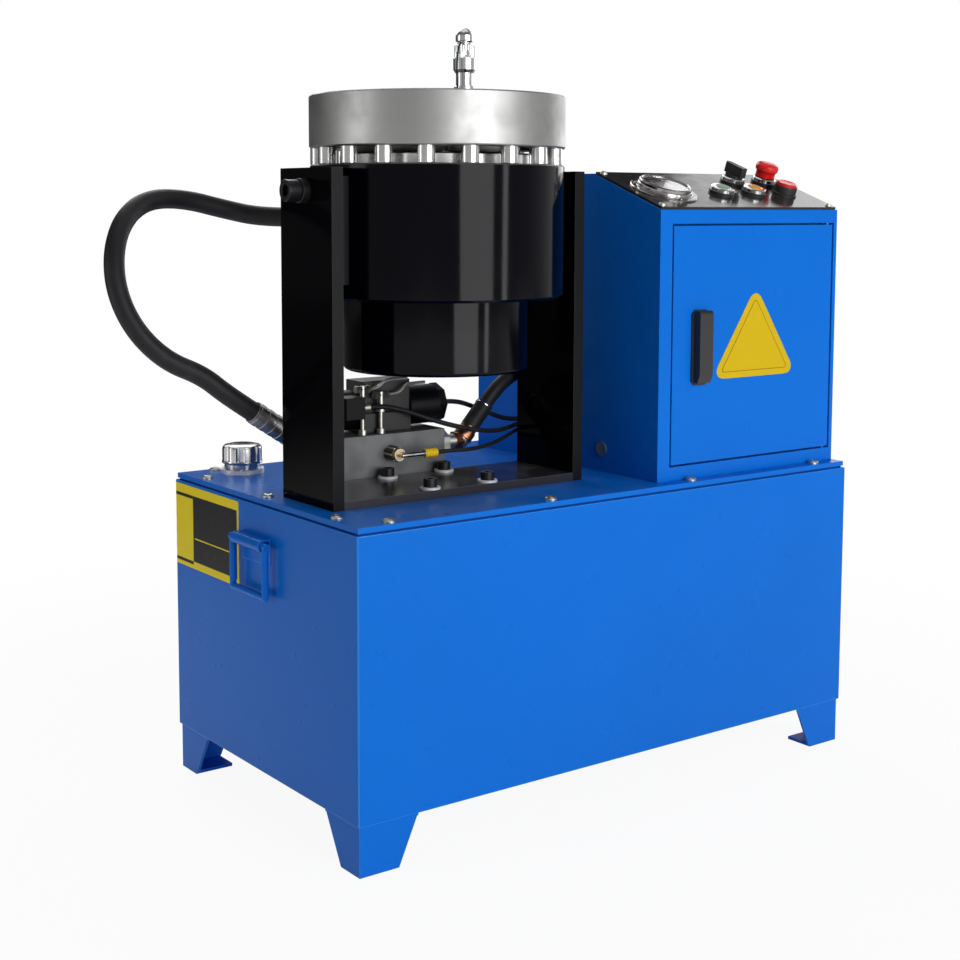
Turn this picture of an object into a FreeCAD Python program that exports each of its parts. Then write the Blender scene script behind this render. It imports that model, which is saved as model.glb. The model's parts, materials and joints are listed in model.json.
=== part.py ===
"""Upright hydraulic pipe shrinking machine on its oil tank, in millimetres.

+X is the operator's right, -Y the operator's side and +Z up. The origin is the middle
of the tank's footprint on the floor.
"""
import FreeCAD, Part
import Sketcher
import math
import os
import re

Vector = FreeCAD.Vector
Rotation = FreeCAD.Rotation
Placement = FreeCAD.Placement

doc = FreeCAD.newDocument("pipe_shrinking_machine")
sheet = doc.addObject("Spreadsheet::Sheet", "Sizes")

SIZES = {
    # oil tank
    "tank_long": 750, "tank_wide": 424, "tank_tall": 310, "tank_wall": 3,
    "tank_flange": 24, "flange_thick": 4, "lid_inset": 2.5, "lid_thick": 6, "gasket_thick": 2,
    "foot_tall": 56, "foot_sheet": 4, "foot_inset": 3, "foot_top_long": 75, "foot_low_long": 50,
    "foot_top_side": 70, "foot_low_side": 38,
    "cover_screw_rad": 4, "cover_head_rad": 7, "cover_head_tall": 4, "screw_edge": 13.5,
    "screw_pitch_long": 218, "screw_pitch_side": 150,
    "plug_rad": 8, "plug_hex": 11, "plug_x": 300, "plug_y": 140,
    # filler neck and cap
    "filler_in": 70, "neck_clear": 1, "neck_rad": 19, "neck_bore": 16.5, "neck_flange_rad": 27,
    "neck_flange_thick": 5, "neck_up": 12, "neck_down": 20, "cap_rad": 25, "cap_tall": 31, "cap_wall": 2,
    "basket_drop": 60, "basket_sheet": 1.2, "cap_crown": 9, "cap_slope": 12, "cap_rib": 2.6,
    # carrying handles on the tank ends
    "bail_y": 4, "bail_high": 325, "bail_wide": 84, "bail_drop": 58, "bail_bar": 4, "bail_stand": 10,
    "lug_wide": 66, "lug_wall": 2.5,
    # press frame
    "head_x": -172.5, "head_y": -65, "frame_wide": 350, "frame_deep": 110, "plate_thick": 14,
    "plate_tall": 371, "base_thick": 10, "base_pitch_x": 81, "base_pitch_y": 88,
    "base_bolt_rad": 5, "base_head_rad": 8, "base_head_tall": 10, "washer_rad": 10.5, "washer_thick": 2,
    "nut_tall": 8,
    # press head
    "barrel_low": 226, "barrel_rad": 146, "barrel_tall": 150, "barrel_floor": 20, "chamber_gap": 20,
    "pad_wide": 70, "pad_low": 18, "pad_tall": 118,
    "lower_rad": 100, "lower_tall": 84, "lower_floor": 20, "lower_bore": 80,
    "barrel_break": 3, "ring_break": 1.5, "entry_break": 4,
    "ring_lift": 19, "ring_rad": 147, "ring_tall": 59, "ring_flange": 24, "entry_rad": 78,
    "post_count": 18, "post_circle": 135.5, "post_rad": 10, "post_bolt_rad": 6, "post_head_rad": 9,
    "post_head_tall": 12, "post_thread": 34,
    "side_screw_drop": 30, "side_screw_rad": 8, "side_head_rad": 12, "side_head_tall": 16,
    "collar_rad": 13.5, "collar_thick": 10, "side_thread": 20,
    # ram, wedge bowl and dies
    "slide_gap": 0.3, "run_gap": 0.06, "stroke": 36, "rod_rad": 50, "piston_tall": 22, "piston_lift": 4,
    "bowl_break": 4, "bowl_rad": 112, "bowl_tall": 123, "bowl_floor": 20, "bowl_mouth": 88,
    "wedge_angle": 15,
    "die_count": 8, "die_lift": 4, "die_side_gap": 4, "jaw_rad": 36, "jaw_tall": 75, "relief_rad": 50,
    "key_in": 62, "key_out": 92, "key_wide": 12, "key_tall": 6, "die_phase": -97.75,
    "left_port_turn": 125, "left_port_high": 90,
    "port_rad": 7, "port_deep": 20, "stop_turn": -11.25, "stop_circle": 105.5, "stop_rad": 4,
    "stop_tall": 12,
    # travel micrometer
    "gauge_stem_rad": 6, "spindle_rad": 3, "spindle_tip": 8, "sleeve_rad": 9, "sleeve_tall": 32,
    "thimble_rad": 12, "thimble_low": 19, "thimble_tall": 16, "knurl_rad": 11, "knurl_tall": 13,
    "neck_small": 5, "neck_small_tall": 4, "dome_rad": 9.5, "dome_tall": 15,
    # valve block and valve
    "block_x": -275, "block_y": -6, "block_long": 155, "block_deep": 70, "block_tall": 60,
    "valve_x": -226, "valve_y": 8, "valve_long": 66, "valve_deep": 46, "valve_foot": 24, "valve_tall": 62,
    "coil_rad": 24, "coil_long": 44, "coil_high": 27, "coil_nut": 12, "connector": 26,
    # hoses, cables and their fittings
    "main_hose_rad": 11.5, "pump_hose_rad": 9.25, "gauge_hose_rad": 2.5, "cable_rad": 3, "lead_rad": 1,
    "hex_size": 15, "adaptor_long": 14, "elbow_rad": 11, "left_port_z": 46, "left_port_y": 25,
    "left_lean": 33.2, "left_nut": 24, "left_ferrule": 62, "head_ferrule": 32, "ferrule_wall": 2,
    "left_reach": 16, "right_reach": 36,
    "right_port_z": 40, "right_port_y": 12, "right_lean": 48, "right_nut": 12, "right_ferrule": 42,
    "test_port_x": -200, "test_port_z": 37, "test_hex": 9, "test_hex_long": 16, "test_ring_rad": 7.5,
    "test_ring_long": 6, "test_tube_rad": 2.6, "test_tube_out": 6, "test_tube_long": 30,
    "test_ferrule_rad": 4.6, "test_ferrule_long": 18, "gland_rad": 6, "gland_long": 8, "gland_high": 54,
    "gland_y": 10, "gland_pitch": 16, "union_y": 12, "union_high": 126.4, "union_long": 10,
    "eyelet_rad": 7.5, "eyelet_thick": 1, "lead_circle": 124, "lead_turn": -115, "gauge_stem_tall": 12,
    # control cabinet
    "cabinet_x": 62, "cabinet_wide": 310, "front_ledge": 22.5, "back_ledge": 40.5, "floor_lip": 16,
    "cabinet_tall": 326, "cabinet_wall": 2, "panel_slope": 19.7, "panel_long": 131,
    "door_left": 22, "door_right": 9, "door_lift": 19, "door_tall": 288, "door_gap": 2.5, "hinge_gap": 3,
    "door_fold": 15, "rebate_deep": 19, "rebate_lip": 10, "pivot_rad": 2.5, "pivot_in": 5,
    "grommet_y": -88, "grommet_high": 29, "grommet_rad": 7,
    "louvre_count": 9, "louvre_pitch": 16, "louvre_tall": 5, "louvre_wide": 150,
    # lock on the door
    "lock_in": 44, "lock_low": 114, "lock_wide": 28, "lock_tall": 92, "lock_base": 3, "lever_wide": 22,
    "lever_thick": 10, "lever_low": 3, "spindle_drop": 16, "lock_spindle": 6, "cam_long": 42,
    "lever_pin_rad": 1.5, "lever_pin_up": 10, "lever_boss": 3, "head_wide": 10,
    # control panel
    "panel_edge": 9, "panel_screw_rad": 2.5, "panel_head_rad": 4.5, "panel_head_tall": 2.6,
    "panel_thick": 3, "panel_margin": 2,
    "gauge_in": 56, "gauge_s": 60, "gauge_flange": 42.5,
    "gauge_rad": 33, "gauge_rise": 11, "gauge_bore": 30, "gauge_body": 34, "dial_rad": 29,
    "dial_high": 2, "glass_thick": 2, "pointer_long": 24, "pointer_thick": 1, "arbor_rad": 1,
    "front_row": 52, "back_row": 92, "column_in": 49, "column_pitch": 57, "bezel_rad": 14.8,
    "bezel_rise": 9, "button_hole": 11, "button_body": 42, "button_rad": 9.2, "button_travel": 4,
    "guard_rise": 16, "mushroom_rad": 15, "mushroom_tall": 13, "mushroom_gap": 6.5, "stop_travel": 5,
    "knob_long": 34, "knob_wide": 9, "knob_tall": 13,
    # motor, pump and switchgear
    "motor_in": 163, "motor_clear": 0.5, "motor_flange": 95, "motor_flange_thick": 12, "motor_rad": 76,
    "motor_tall": 214, "fin_count": 16, "fin_tall": 9, "fin_thick": 3, "motor_shaft": 14,
    "fan_cover_tall": 52, "fan_cover_wall": 2, "fan_rad": 66, "fan_tall": 22, "bell_rad": 62, "bell_wall": 7,
    "bell_tall": 96, "bell_flange": 8, "pump_wide": 92, "pump_tall": 96, "suction_rad": 13,
    "strainer_rad": 30, "strainer_tall": 70, "suction_long": 36, "pump_shaft": 9,
    "coupling_rad": 26, "coupling_tall": 44, "fan_hub": 20, "fan_blades": 8, "plate_sheet": 2,
    "plate_tall_in": 294, "rail_deep": 7.5, "rail_tall": 35, "rail_long": 220, "rail_high": 200,
    "contactor_wide": 45, "contactor_tall": 76, "contactor_deep": 56, "contactor_nose": 6,
    "relay_wide": 36, "relay_tall": 80,
    "relay_deep": 46, "terminal_count": 8, "terminal_wide": 8, "terminal_tall": 48, "terminal_deep": 36,
    "core_wide": 84, "core_deep": 60, "core_tall": 76, "core_high": 24,
}


def fill_sheet():
    for row, (alias, value) in enumerate(SIZES.items(), start=1):
        sheet.set("A%d" % row, alias.replace("_", " "))
        sheet.set("B%d" % row, str(value))
        sheet.setAlias("B%d" % row, alias)
    doc.recompute()


fill_sheet()


# Places that follow from the sizes, each under a name that expressions can use
PLACES = {
    "filler_x": "(-tank_long / 2 + filler_in)",
    "filler_y": "(tank_wide / 2 - tank_flange - neck_rad - neck_clear)",
    "cabinet_front": "(-tank_wide / 2 + front_ledge)",
    "cabinet_deep": "(tank_wide - front_ledge - back_ledge)",
    "door_x": "(cabinet_x + door_left)",
    "door_wide": "(cabinet_wide - door_left - door_right)",
    "lock_x": "(door_x + lock_in)",
    "gauge_x": "(cabinet_x + gauge_in)",
    "column_one": "(cabinet_x + cabinet_wide - column_in - 2 * column_pitch)",
    "motor_x": "(cabinet_x + motor_in)",
    "motor_y": "(tank_wide / 2 - back_ledge - floor_lip - motor_flange - motor_clear)",
    "free_depth": "(motor_y - motor_flange - cabinet_front + door_fold)",
    "plate_back": "((free_depth + contactor_deep + contactor_nose + rail_deep - plate_sheet) / 2)",
}


def full(text):
    """The same expression with every size name pointing into the sheet."""
    def point(match):
        word = match.group(0)
        if word in PLACES:
            return full(PLACES[word])
        return "Sizes." + word if word in SIZES else word

    return re.sub(r"[a-z]\w*", point, text)


def value(text):
    return float(sheet.evalExpression(full(text)))


# Levels and places worked out from the driving sizes
TANK_TOP = "(foot_tall + tank_tall)"
LID_TOP = "(foot_tall + tank_tall + gasket_thick + lid_thick)"
BASE_TOP = "(%s + base_thick)" % LID_TOP
BARREL_Z = "(%s + barrel_low)" % LID_TOP
BARREL_TOP = "(%s + barrel_tall)" % BARREL_Z
RING_Z = "(%s + ring_lift)" % BARREL_TOP
RING_TOP = "(%s + ring_tall)" % RING_Z
FLANGE_Z = "(%s - ring_flange)" % RING_TOP
LOWER_Z = "(%s - lower_tall)" % BARREL_Z
BOWL_Z = "(%s + barrel_floor + chamber_gap)" % BARREL_Z
BOWL_TOP = "(%s + bowl_tall)" % BOWL_Z
BOWL_BORE = "(bowl_rad + slide_gap)"
DIE_Z = "(%s + bowl_floor + stroke + die_lift)" % BOWL_Z
DIE_TOP = "(%s - slide_gap)" % FLANGE_Z
SIDE_SCREW_Z = "(%s - side_screw_drop)" % BARREL_TOP
PLATE_IN = "(frame_wide / 2 - plate_thick)"
SCREW_ROW = "(tank_wide / 2 - screw_edge)"
SCREW_END = "(tank_long / 2 - screw_edge)"
CABINET_BACK = "(cabinet_front + cabinet_deep)"
PANEL_Z = "(%s + cabinet_tall)" % LID_TOP
LOCK_Z = "(%s + lock_low + lock_tall - spindle_drop)" % LID_TOP
DOOR_Z = "(%s + door_lift)" % LID_TOP
MOTOR_Z = "(%s + bell_flange)" % LID_TOP
MOTOR_TOP = "(%s + motor_flange_thick + motor_tall)" % MOTOR_Z


def bind(thing, **settings):
    for name, text in settings.items():
        thing.setExpression(name, full(text))
    return thing


def put(thing, x="0", y="0", z="0", *turns):
    """Places a piece, with any turns given as an axis and an angle each, the last one first."""
    steps = ["rotation(vector(%d; %d; %d); %s)" % (*axis, angle) for axis,
             angle in turns or [((0, 0, 1), "0")]]
    thing.setExpression("Placement", full("placement(vector(%s; %s; %s); %s)" % (x, y, z,
                                                                                 " * ".join(steps))))
    return thing


def on_panel(thing):
    """A piece drawn as (x, up the slope, out of the panel) laid on the sloping panel."""
    return put(thing, "0", "cabinet_front", PANEL_Z, ((1, 0, 0), "panel_slope"))


counter = {"n": 0}


def label(stem):
    counter["n"] += 1
    return "%s_%d" % (stem, counter["n"])


def new_body(name=None):
    body = doc.addObject("PartDesign::Body", name or label("body"))
    body.Label = body.Name
    return body


def sketch(body, role="XY_Plane", offset="0"):
    plane = [f for f in body.Origin.OriginFeatures if f.Role == role][0]
    flat = body.newObject("Sketcher::SketchObject", label("sketch"))
    flat.AttachmentSupport = [(plane, "")]
    flat.MapMode = "FlatFace"
    flat.setExpression("AttachmentOffset.Base.z", full(offset))
    return flat


def pin_point(flat, edge, spot, across, up):
    for kind, text in (("DistanceX", across), ("DistanceY", up)):
        number = flat.addConstraint(Sketcher.Constraint(kind, -1, 1, edge, spot, value(text)))
        flat.setExpression("Constraints[%d]" % number, full(text))


def outline(flat, points):
    """A closed polygon whose corners are bound to the sheet."""
    first = flat.GeometryCount
    corners = [Vector(value(a), value(b), 0) for a, b in points]
    total = len(points)
    for i in range(total):
        flat.addGeometry(Part.LineSegment(corners[i], corners[(i + 1) % total]), False)
    for i in range(total):
        flat.addConstraint(Sketcher.Constraint("Coincident", first + i, 2, first + (i + 1) % total, 1))
    for i, (across, up) in enumerate(points):
        pin_point(flat, first + i, 1, across, up)
    return flat


def rect(flat, x0, y0, x1, y1):
    return outline(flat, [(x0, y0), (x1, y0), (x1, y1), (x0, y1)])


def circles(flat, places, radius):
    for across, up in places:
        centre = Vector(value(across), value(up), 0)
        edge = flat.addGeometry(Part.Circle(centre, Vector(0, 0, 1), value(radius)), False)
        number = flat.addConstraint(Sketcher.Constraint("Radius", edge, value(radius)))
        flat.setExpression("Constraints[%d]" % number, full(radius))
        pin_point(flat, edge, 3, across, up)
    return flat


def pad(body, flat, length, both=False, back=False):
    feature = body.newObject("PartDesign::Pad", label("pad"))
    feature.Profile = flat
    feature.setExpression("Length", full(length))
    feature.Midplane = both
    feature.Reversed = back
    return feature


def pocket(body, flat, length=None, up=False, both=False):
    """A cut from the sketch against its normal, or along it when up is set."""
    feature = body.newObject("PartDesign::Pocket", label("pocket"))
    feature.Profile = flat
    if length is None:
        feature.Type = 1
    else:
        feature.setExpression("Length", full(length))
    feature.Reversed = up
    feature.Midplane = both
    return feature


def revolve(body, points, cut=False):
    """Turns a (radius, height) outline about the body's own Z axis."""
    flat = outline(sketch(body, "XZ_Plane"), points)
    feature = body.newObject("PartDesign::Groove" if cut else "PartDesign::Revolution", label("turn"))
    feature.Profile = flat
    feature.ReferenceAxis = (flat, ["V_Axis"])
    feature.Angle = 360
    return feature


def polar(body, features, count):
    feature = body.newObject("PartDesign::PolarPattern", label("polar"))
    feature.Originals = features
    axis = [f for f in body.Origin.OriginFeatures if f.Role == "Z_Axis"][0]
    feature.Axis = (axis, [""])
    feature.Angle = 360
    feature.setExpression("Occurrences", full(count))
    body.Tip = feature
    return feature


def box(x, y, z, lx, ly, lz):
    block = doc.addObject("Part::Box", label("box"))
    bind(block, Length=lx, Width=ly, Height=lz)
    return put(block, x, y, z)


ALONG = {"z": ((0, 0, 1), "0"), "x": ((0, 1, 0), "90"), "-x": ((0, 1, 0), "-90"),
         "y": ((1, 0, 0), "-90"), "-y": ((1, 0, 0), "90")}


def rod(x, y, z, radius, length, along="z"):
    """A cylinder that starts at the point and runs along the named direction."""
    bar = doc.addObject("Part::Cylinder", label("rod"))
    bind(bar, Radius=radius, Height=length)
    return put(bar, x, y, z, ALONG[along])


def hexagon(x, y, z, radius, length, along="z"):
    prism = doc.addObject("Part::Prism", label("hex"))
    prism.Polygon = 6
    bind(prism, Circumradius=radius, Height=length)
    return put(prism, x, y, z, ALONG[along])


def fuse(*pieces):
    joined = doc.addObject("Part::MultiFuse", label("fuse"))
    joined.Shapes = list(pieces)
    return joined


def cut(base, *tools):
    less = doc.addObject("Part::Cut", label("cut"))
    less.Base = base
    less.Tool = tools[0] if len(tools) == 1 else fuse(*tools)
    return less


def group(*pieces):
    """Separate solids that share one node."""
    bundle = doc.addObject("Part::Compound", label("group"))
    bundle.Links = list(pieces)
    return bundle


def radial_rod(turn, start, z, radius, length, lean="90"):
    """A cylinder that points away from the press axis at the named angle."""
    bar = doc.addObject("Part::Cylinder", label("rod"))
    bind(bar, Radius=radius, Height=length)
    x = "head_x + (%s) * cos(%s)" % (start, turn)
    y = "head_y + (%s) * sin(%s)" % (start, turn)
    return put(bar, x, y, z, ((0, 0, 1), turn), ((0, 1, 0), lean))


nodes = {}


def node(name, thing):
    thing.Label = name
    nodes[name] = thing
    return thing


def turn_about(x, y, points, z="0"):
    body = new_body()
    revolve(body, points)
    return put(body, x, y, z)


# Places that several pieces share; a button is its place, its collar's height and its bore
BUTTON_WELL, BUTTON_STEM, BUTTON_SHAFT = "10", "(button_travel)", "(button_rad * 0.7)"
BUTTONS = [("column_one", "front_row", "bezel_rise", "(button_rad + slide_gap)"),
           ("column_one + column_pitch", "front_row", "bezel_rise", "(button_rad + slide_gap)"),
           ("column_one + 2 * column_pitch", "front_row", "guard_rise", "(button_rad + slide_gap)"),
           ("column_one + column_pitch", "back_row", "bezel_rise", "(button_rad * 0.7 + slide_gap)"),
           ("column_one + 2 * column_pitch", "back_row", "bezel_rise", "(button_rad * 0.7 + slide_gap)")]
PORTS = [("left_port_turn", "left_port_high")]
STOP_X = "(head_x + stop_circle * cos(die_phase + stop_turn))"
STOP_Y = "(head_y + stop_circle * sin(die_phase + stop_turn))"
LEAD_X = "(head_x + lead_circle * cos(lead_turn))"
LEAD_Y = "(head_y + lead_circle * sin(lead_turn))"
LID_SCREWS = [("%s * screw_pitch_long" % k, side + SCREW_ROW)
              for side in ("-", "") for k in (-1.5, -0.5, 0.5, 1.5)]
LID_SCREWS += [("-" + SCREW_END, "%s * screw_pitch_side" % k) for k in (-1, 0, 1)]
BASE_BOLTS = [("head_x %s base_pitch_x / 2" % a, "head_y %s base_pitch_y / 2" % b) for a in "+-"
              for b in "+-"]
PANEL_SCREWS = [("cabinet_x + " + a, b) for a in ("panel_edge", "cabinet_wide - panel_edge")
                for b in ("panel_edge", "panel_long - panel_edge")]


def make_tank():
    """Five sheets welded edge to edge, four flat bars that carry the lid, and two straps on the ends."""
    inside = "(tank_wide - 2 * tank_wall)"
    bar = "(tank_flange - tank_wall)"
    flange_z = TANK_TOP + " - flange_thick"
    sheets = []
    bars = []
    for side in (-1, 1):
        edge = "-tank_wide / 2" if side < 0 else "tank_wide / 2 - tank_wall"
        end = "-tank_long / 2" if side < 0 else "tank_long / 2 - tank_wall"
        sheets.append(box("-tank_long / 2", edge, "foot_tall", "tank_long", "tank_wall", "tank_tall"))
        sheets.append(box(end, "-%s / 2" % inside, "foot_tall", "tank_wall", inside, "tank_tall"))
        edge = "-tank_wide / 2 + tank_wall" if side < 0 else "tank_wide / 2 - tank_flange"
        end = "-tank_long / 2 + tank_wall" if side < 0 else "tank_long / 2 - tank_flange"
        bars.append(box("-tank_long / 2 + tank_wall", edge, flange_z, "tank_long - 2 * tank_wall", bar,
                        "flange_thick"))
        bars.append(box(end, "-tank_wide / 2 + tank_flange", flange_z, bar, "tank_wide - 2 * tank_flange",
                        "flange_thick"))
    holes = [rod(x, y, flange_z + " - 1", "cover_screw_rad + run_gap", "flange_thick + 2") for x,
             y in LID_SCREWS]
    drain = rod("plug_x", "plug_y", "foot_tall - 1", "plug_rad + run_gap", "tank_wall + 2")
    floor = cut(box("-tank_long / 2 + tank_wall", "-%s / 2" % inside, "foot_tall",
                    "tank_long - 2 * tank_wall",
                    inside, "tank_wall"), drain)
    bars = [cut(piece, *holes) for piece in bars]
    return node("tank_shell", group(floor, *sheets, *bars, *[make_lug(s) for s in (-1, 1)]))


def make_lug(side):
    """The rolled sheet strap, welded to the tank end, that a carrying handle swings in."""
    face = "%s * tank_long / 2" % side
    axis_x = "%s + %s * bail_stand" % (face, side)
    bore = "bail_bar + slide_gap"
    low_x = face if side > 0 else axis_x
    web = box(low_x, "bail_y - lug_wide / 2", "bail_high", "bail_stand", "lug_wide", "%s + lug_wall" % bore)
    barrel = rod(axis_x, "bail_y - lug_wide / 2", "bail_high", "%s + lug_wall" % bore, "lug_wide", "y")
    hole = rod(axis_x, "bail_y - lug_wide / 2 - 1", "bail_high", bore, "lug_wide + 2", "y")
    return cut(fuse(web, barrel), hole)


def make_feet():
    """Four feet bent from sheet: two tapering legs, a top flange and a floor pad each."""
    feet = []
    for sx in (-1, 1):
        for sy in (-1, 1):
            corner_x = "%s * (tank_long / 2 - foot_inset)" % sx
            corner_y = "%s * (tank_wide / 2 - foot_inset)" % sy
            front = new_body()
            flat = sketch(front, "XZ_Plane")
            outline(flat, [("0", "0"), ("%s * foot_low_long" % -sx, "0"),
                           ("%s * foot_top_long" % -sx, "foot_tall"), ("0", "foot_tall")])
            pad(front, flat, "foot_sheet", back=sy < 0)
            put(front, corner_x, corner_y)
            side = new_body()
            flat = sketch(side, "YZ_Plane")
            outline(flat, [("0", "0"), ("%s * foot_low_side" % -sy, "0"),
                           ("%s * foot_top_side" % -sy, "foot_tall"), ("0", "foot_tall")])
            pad(side, flat, "foot_sheet", back=sx > 0)
            put(side, corner_x, corner_y)
            floor = new_body()
            flat = sketch(floor)
            rect(flat, "0", "0", "%s * foot_low_long" % -sx, "%s * foot_low_side" % -sy)
            pad(floor, flat, "foot_sheet")
            put(floor, corner_x, corner_y)
            top = new_body()
            flat = sketch(top)
            outline(flat, [("0", "0"), ("%s * foot_top_long" % -sx, "0"), ("0", "%s * foot_top_side" % -sy)])
            pad(top, flat, "foot_sheet")
            put(top, corner_x, corner_y, "foot_tall - foot_sheet")
            feet.append(fuse(front, side, floor, top))
    return node("tank_feet", group(*feet))


def sheet_plate(z, thick, inset):
    body = new_body()
    flat = sketch(body)
    rect(flat, "-tank_long / 2 + " + inset, "-tank_wide / 2 + " + inset,
         "tank_long / 2 - " + inset, "tank_wide / 2 - " + inset)
    pad(body, flat, thick)
    put(body, z=z)
    return body


def make_lid():
    gasket = sheet_plate(TANK_TOP, "gasket_thick", "(lid_inset + 2)")
    flat = sketch(gasket)
    rect(flat, "-tank_long / 2 + tank_flange", "-tank_wide / 2 + tank_flange",
         "tank_long / 2 - tank_flange", "tank_wide / 2 - tank_flange")
    pocket(gasket, flat, up=True)
    pocket(gasket, circles(sketch(gasket), LID_SCREWS, "cover_screw_rad + run_gap"), up=True)
    node("lid_gasket", gasket)

    lid = sheet_plate(TANK_TOP + " + gasket_thick", "lid_thick", "lid_inset")
    pocket(lid, circles(sketch(lid), LID_SCREWS, "cover_screw_rad + run_gap"), up=True)
    pocket(lid, circles(sketch(lid), BASE_BOLTS, "base_bolt_rad + run_gap"), up=True)
    pocket(lid, circles(sketch(lid), [("filler_x", "filler_y")], "neck_rad + slide_gap"), up=True)
    pocket(lid, circles(sketch(lid), [("motor_x", "motor_y")], "bell_rad + slide_gap"), up=True)
    return node("tank_lid", lid)


def dome_screw(x, y, z, reach):
    """A pan-head screw with its underside at z."""
    body = turn_about(x, y, [("0", "-" + reach), ("cover_screw_rad", "-" + reach), ("cover_screw_rad", "0"),
                             ("cover_head_rad", "0"), ("cover_head_rad", "cover_head_tall * 0.45"),
                             ("cover_head_rad * 0.7", "cover_head_tall * 0.9"), ("0", "cover_head_tall")], z)
    pocket(body, outline(sketch(body, offset="cover_head_tall + 1"), hex_points("cover_head_rad * 0.4")),
           "cover_head_tall * 0.5 + 1")
    return body


def hex_points(radius):
    return [("%s * cos(%d)" % (radius, 60 * k), "%s * sin(%d)" % (radius, 60 * k)) for k in range(6)]


def make_cover_screws():
    reach = "(lid_thick + gasket_thick + flange_thick)"
    screws = [dome_screw(x, y, LID_TOP, reach) for x, y in LID_SCREWS]
    for x, s in PANEL_SCREWS:
        body = new_body()
        deep = "-(panel_thick + cabinet_wall + 3)"
        revolve(body, [("0", deep), ("panel_screw_rad", deep), ("panel_screw_rad", "0"),
                       ("panel_head_rad", "0"), ("panel_head_rad * 0.75", "panel_head_tall"),
                       ("0", "panel_head_tall")])
        slope = "panel_slope"
        lift = "(panel_thick)"
        put(body, x, "cabinet_front + (%s) * cos(%s) - %s * sin(%s)" % (s, slope, lift, slope),
            "%s + (%s) * sin(%s) + %s * cos(%s)" % (PANEL_Z, s, slope, lift, slope), ((1, 0, 0), slope))
        screws.append(body)
    return node("cover_screws", group(*screws))


def make_drain_plug():
    head = hexagon("plug_x", "plug_y", "foot_tall - 9", "plug_hex", "9")
    stem = rod("plug_x", "plug_y", "foot_tall", "plug_rad", "tank_wall + 4")
    return node("drain_plug", fuse(head, stem))


def make_filler():
    top = "neck_flange_thick + neck_up"
    neck = turn_about("filler_x", "filler_y", [
        ("neck_bore", "-neck_down"), ("neck_rad", "-neck_down"), ("neck_rad", "0"), ("neck_flange_rad", "0"),
        ("neck_flange_rad", "neck_flange_thick"), ("neck_rad", "neck_flange_thick"), ("neck_rad", top),
        ("neck_bore", top)], LID_TOP)
    outer, inner = "neck_bore - slide_gap", "neck_bore - slide_gap - basket_sheet"
    basket = turn_about("filler_x", "filler_y", [
        (inner, "neck_up"), (outer, "neck_up"), (outer, "-basket_drop"), ("0", "-basket_drop"),
        ("0", "-basket_drop + basket_sheet"), (inner, "-basket_drop + basket_sheet")], LID_TOP)
    node("filler_neck", group(neck, basket))

    cap = new_body()
    low = "(neck_flange_thick + slide_gap)"
    roof = "(neck_flange_thick + cap_tall)"
    inside = "(neck_flange_thick + neck_up + cap_wall)"
    skirt = "(cap_rad - cap_rib / 2)"
    revolve(cap, [("neck_rad + slide_gap", low), (skirt, low), (skirt, roof + " - cap_slope"),
                  ("cap_rad - cap_crown / 2", roof + " - cap_slope / 4"), ("cap_rad - cap_crown", roof),
                  ("0", roof),
                  ("0", inside), ("neck_rad + slide_gap", inside)])
    rib = circles(sketch(cap, offset=low), [("cap_rad - cap_rib", "0")], "cap_rib")
    polar(cap, [pad(cap, rib, "(cap_tall - cap_slope - cap_rib)")], "16")
    put(cap, "filler_x", "filler_y", LID_TOP)
    return node("filler_cap", cap)


def make_bail(name, side):
    """A carrying handle: a bar through the strap, two legs and a bottom bar, hanging free."""
    x = "%s * (tank_long / 2 + bail_stand)" % side
    left = "bail_y - bail_wide / 2"
    low = "bail_high - bail_drop"
    reach = "bail_wide - bail_bar * 2"
    top = rod(x, left, "bail_high", "bail_bar", "bail_wide", "y")
    sides = (left + " + bail_bar", "bail_y + bail_wide / 2 - bail_bar")
    legs = [rod(x, y, low, "bail_bar", "bail_drop") for y in sides]
    bottom = rod(x, left + " + bail_bar", low, "bail_bar", reach, "y")
    knees = []
    for y in sides:
        ball = doc.addObject("Part::Sphere", label("ball"))
        bind(ball, Radius="bail_bar")
        knees.append(put(ball, x, y, low))
    return node(name, fuse(top, bottom, *legs, *knees))


def make_frame():
    plates = new_body()
    flat = sketch(plates)
    for side in (-1, 1):
        rect(flat, "%s * frame_wide / 2" % side, "-frame_deep / 2", "%s * %s" % (side, PLATE_IN),
             "frame_deep / 2")
    pad(plates, flat, "plate_tall")
    screw_hole = circles(sketch(plates, "YZ_Plane"), [("0", "%s - %s" % (SIDE_SCREW_Z, LID_TOP))],
                         "side_screw_rad + run_gap")
    pocket(plates, screw_hole, "frame_wide * 2", both=True)
    put(plates, "head_x", "head_y", LID_TOP)
    node("frame_plates", plates)

    base = new_body()
    flat = sketch(base)
    rect(flat, "-" + PLATE_IN, "-frame_deep / 2", PLATE_IN, "frame_deep / 2")
    pad(base, flat, "base_thick")
    places = [("%s base_pitch_x / 2" % a, "%s base_pitch_y / 2" % b) for a in ("", "-") for b in ("", "-")]
    pocket(base, circles(sketch(base), places, "base_bolt_rad + run_gap"), up=True)
    put(base, "head_x", "head_y", LID_TOP)
    return node("frame_base", base)


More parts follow.
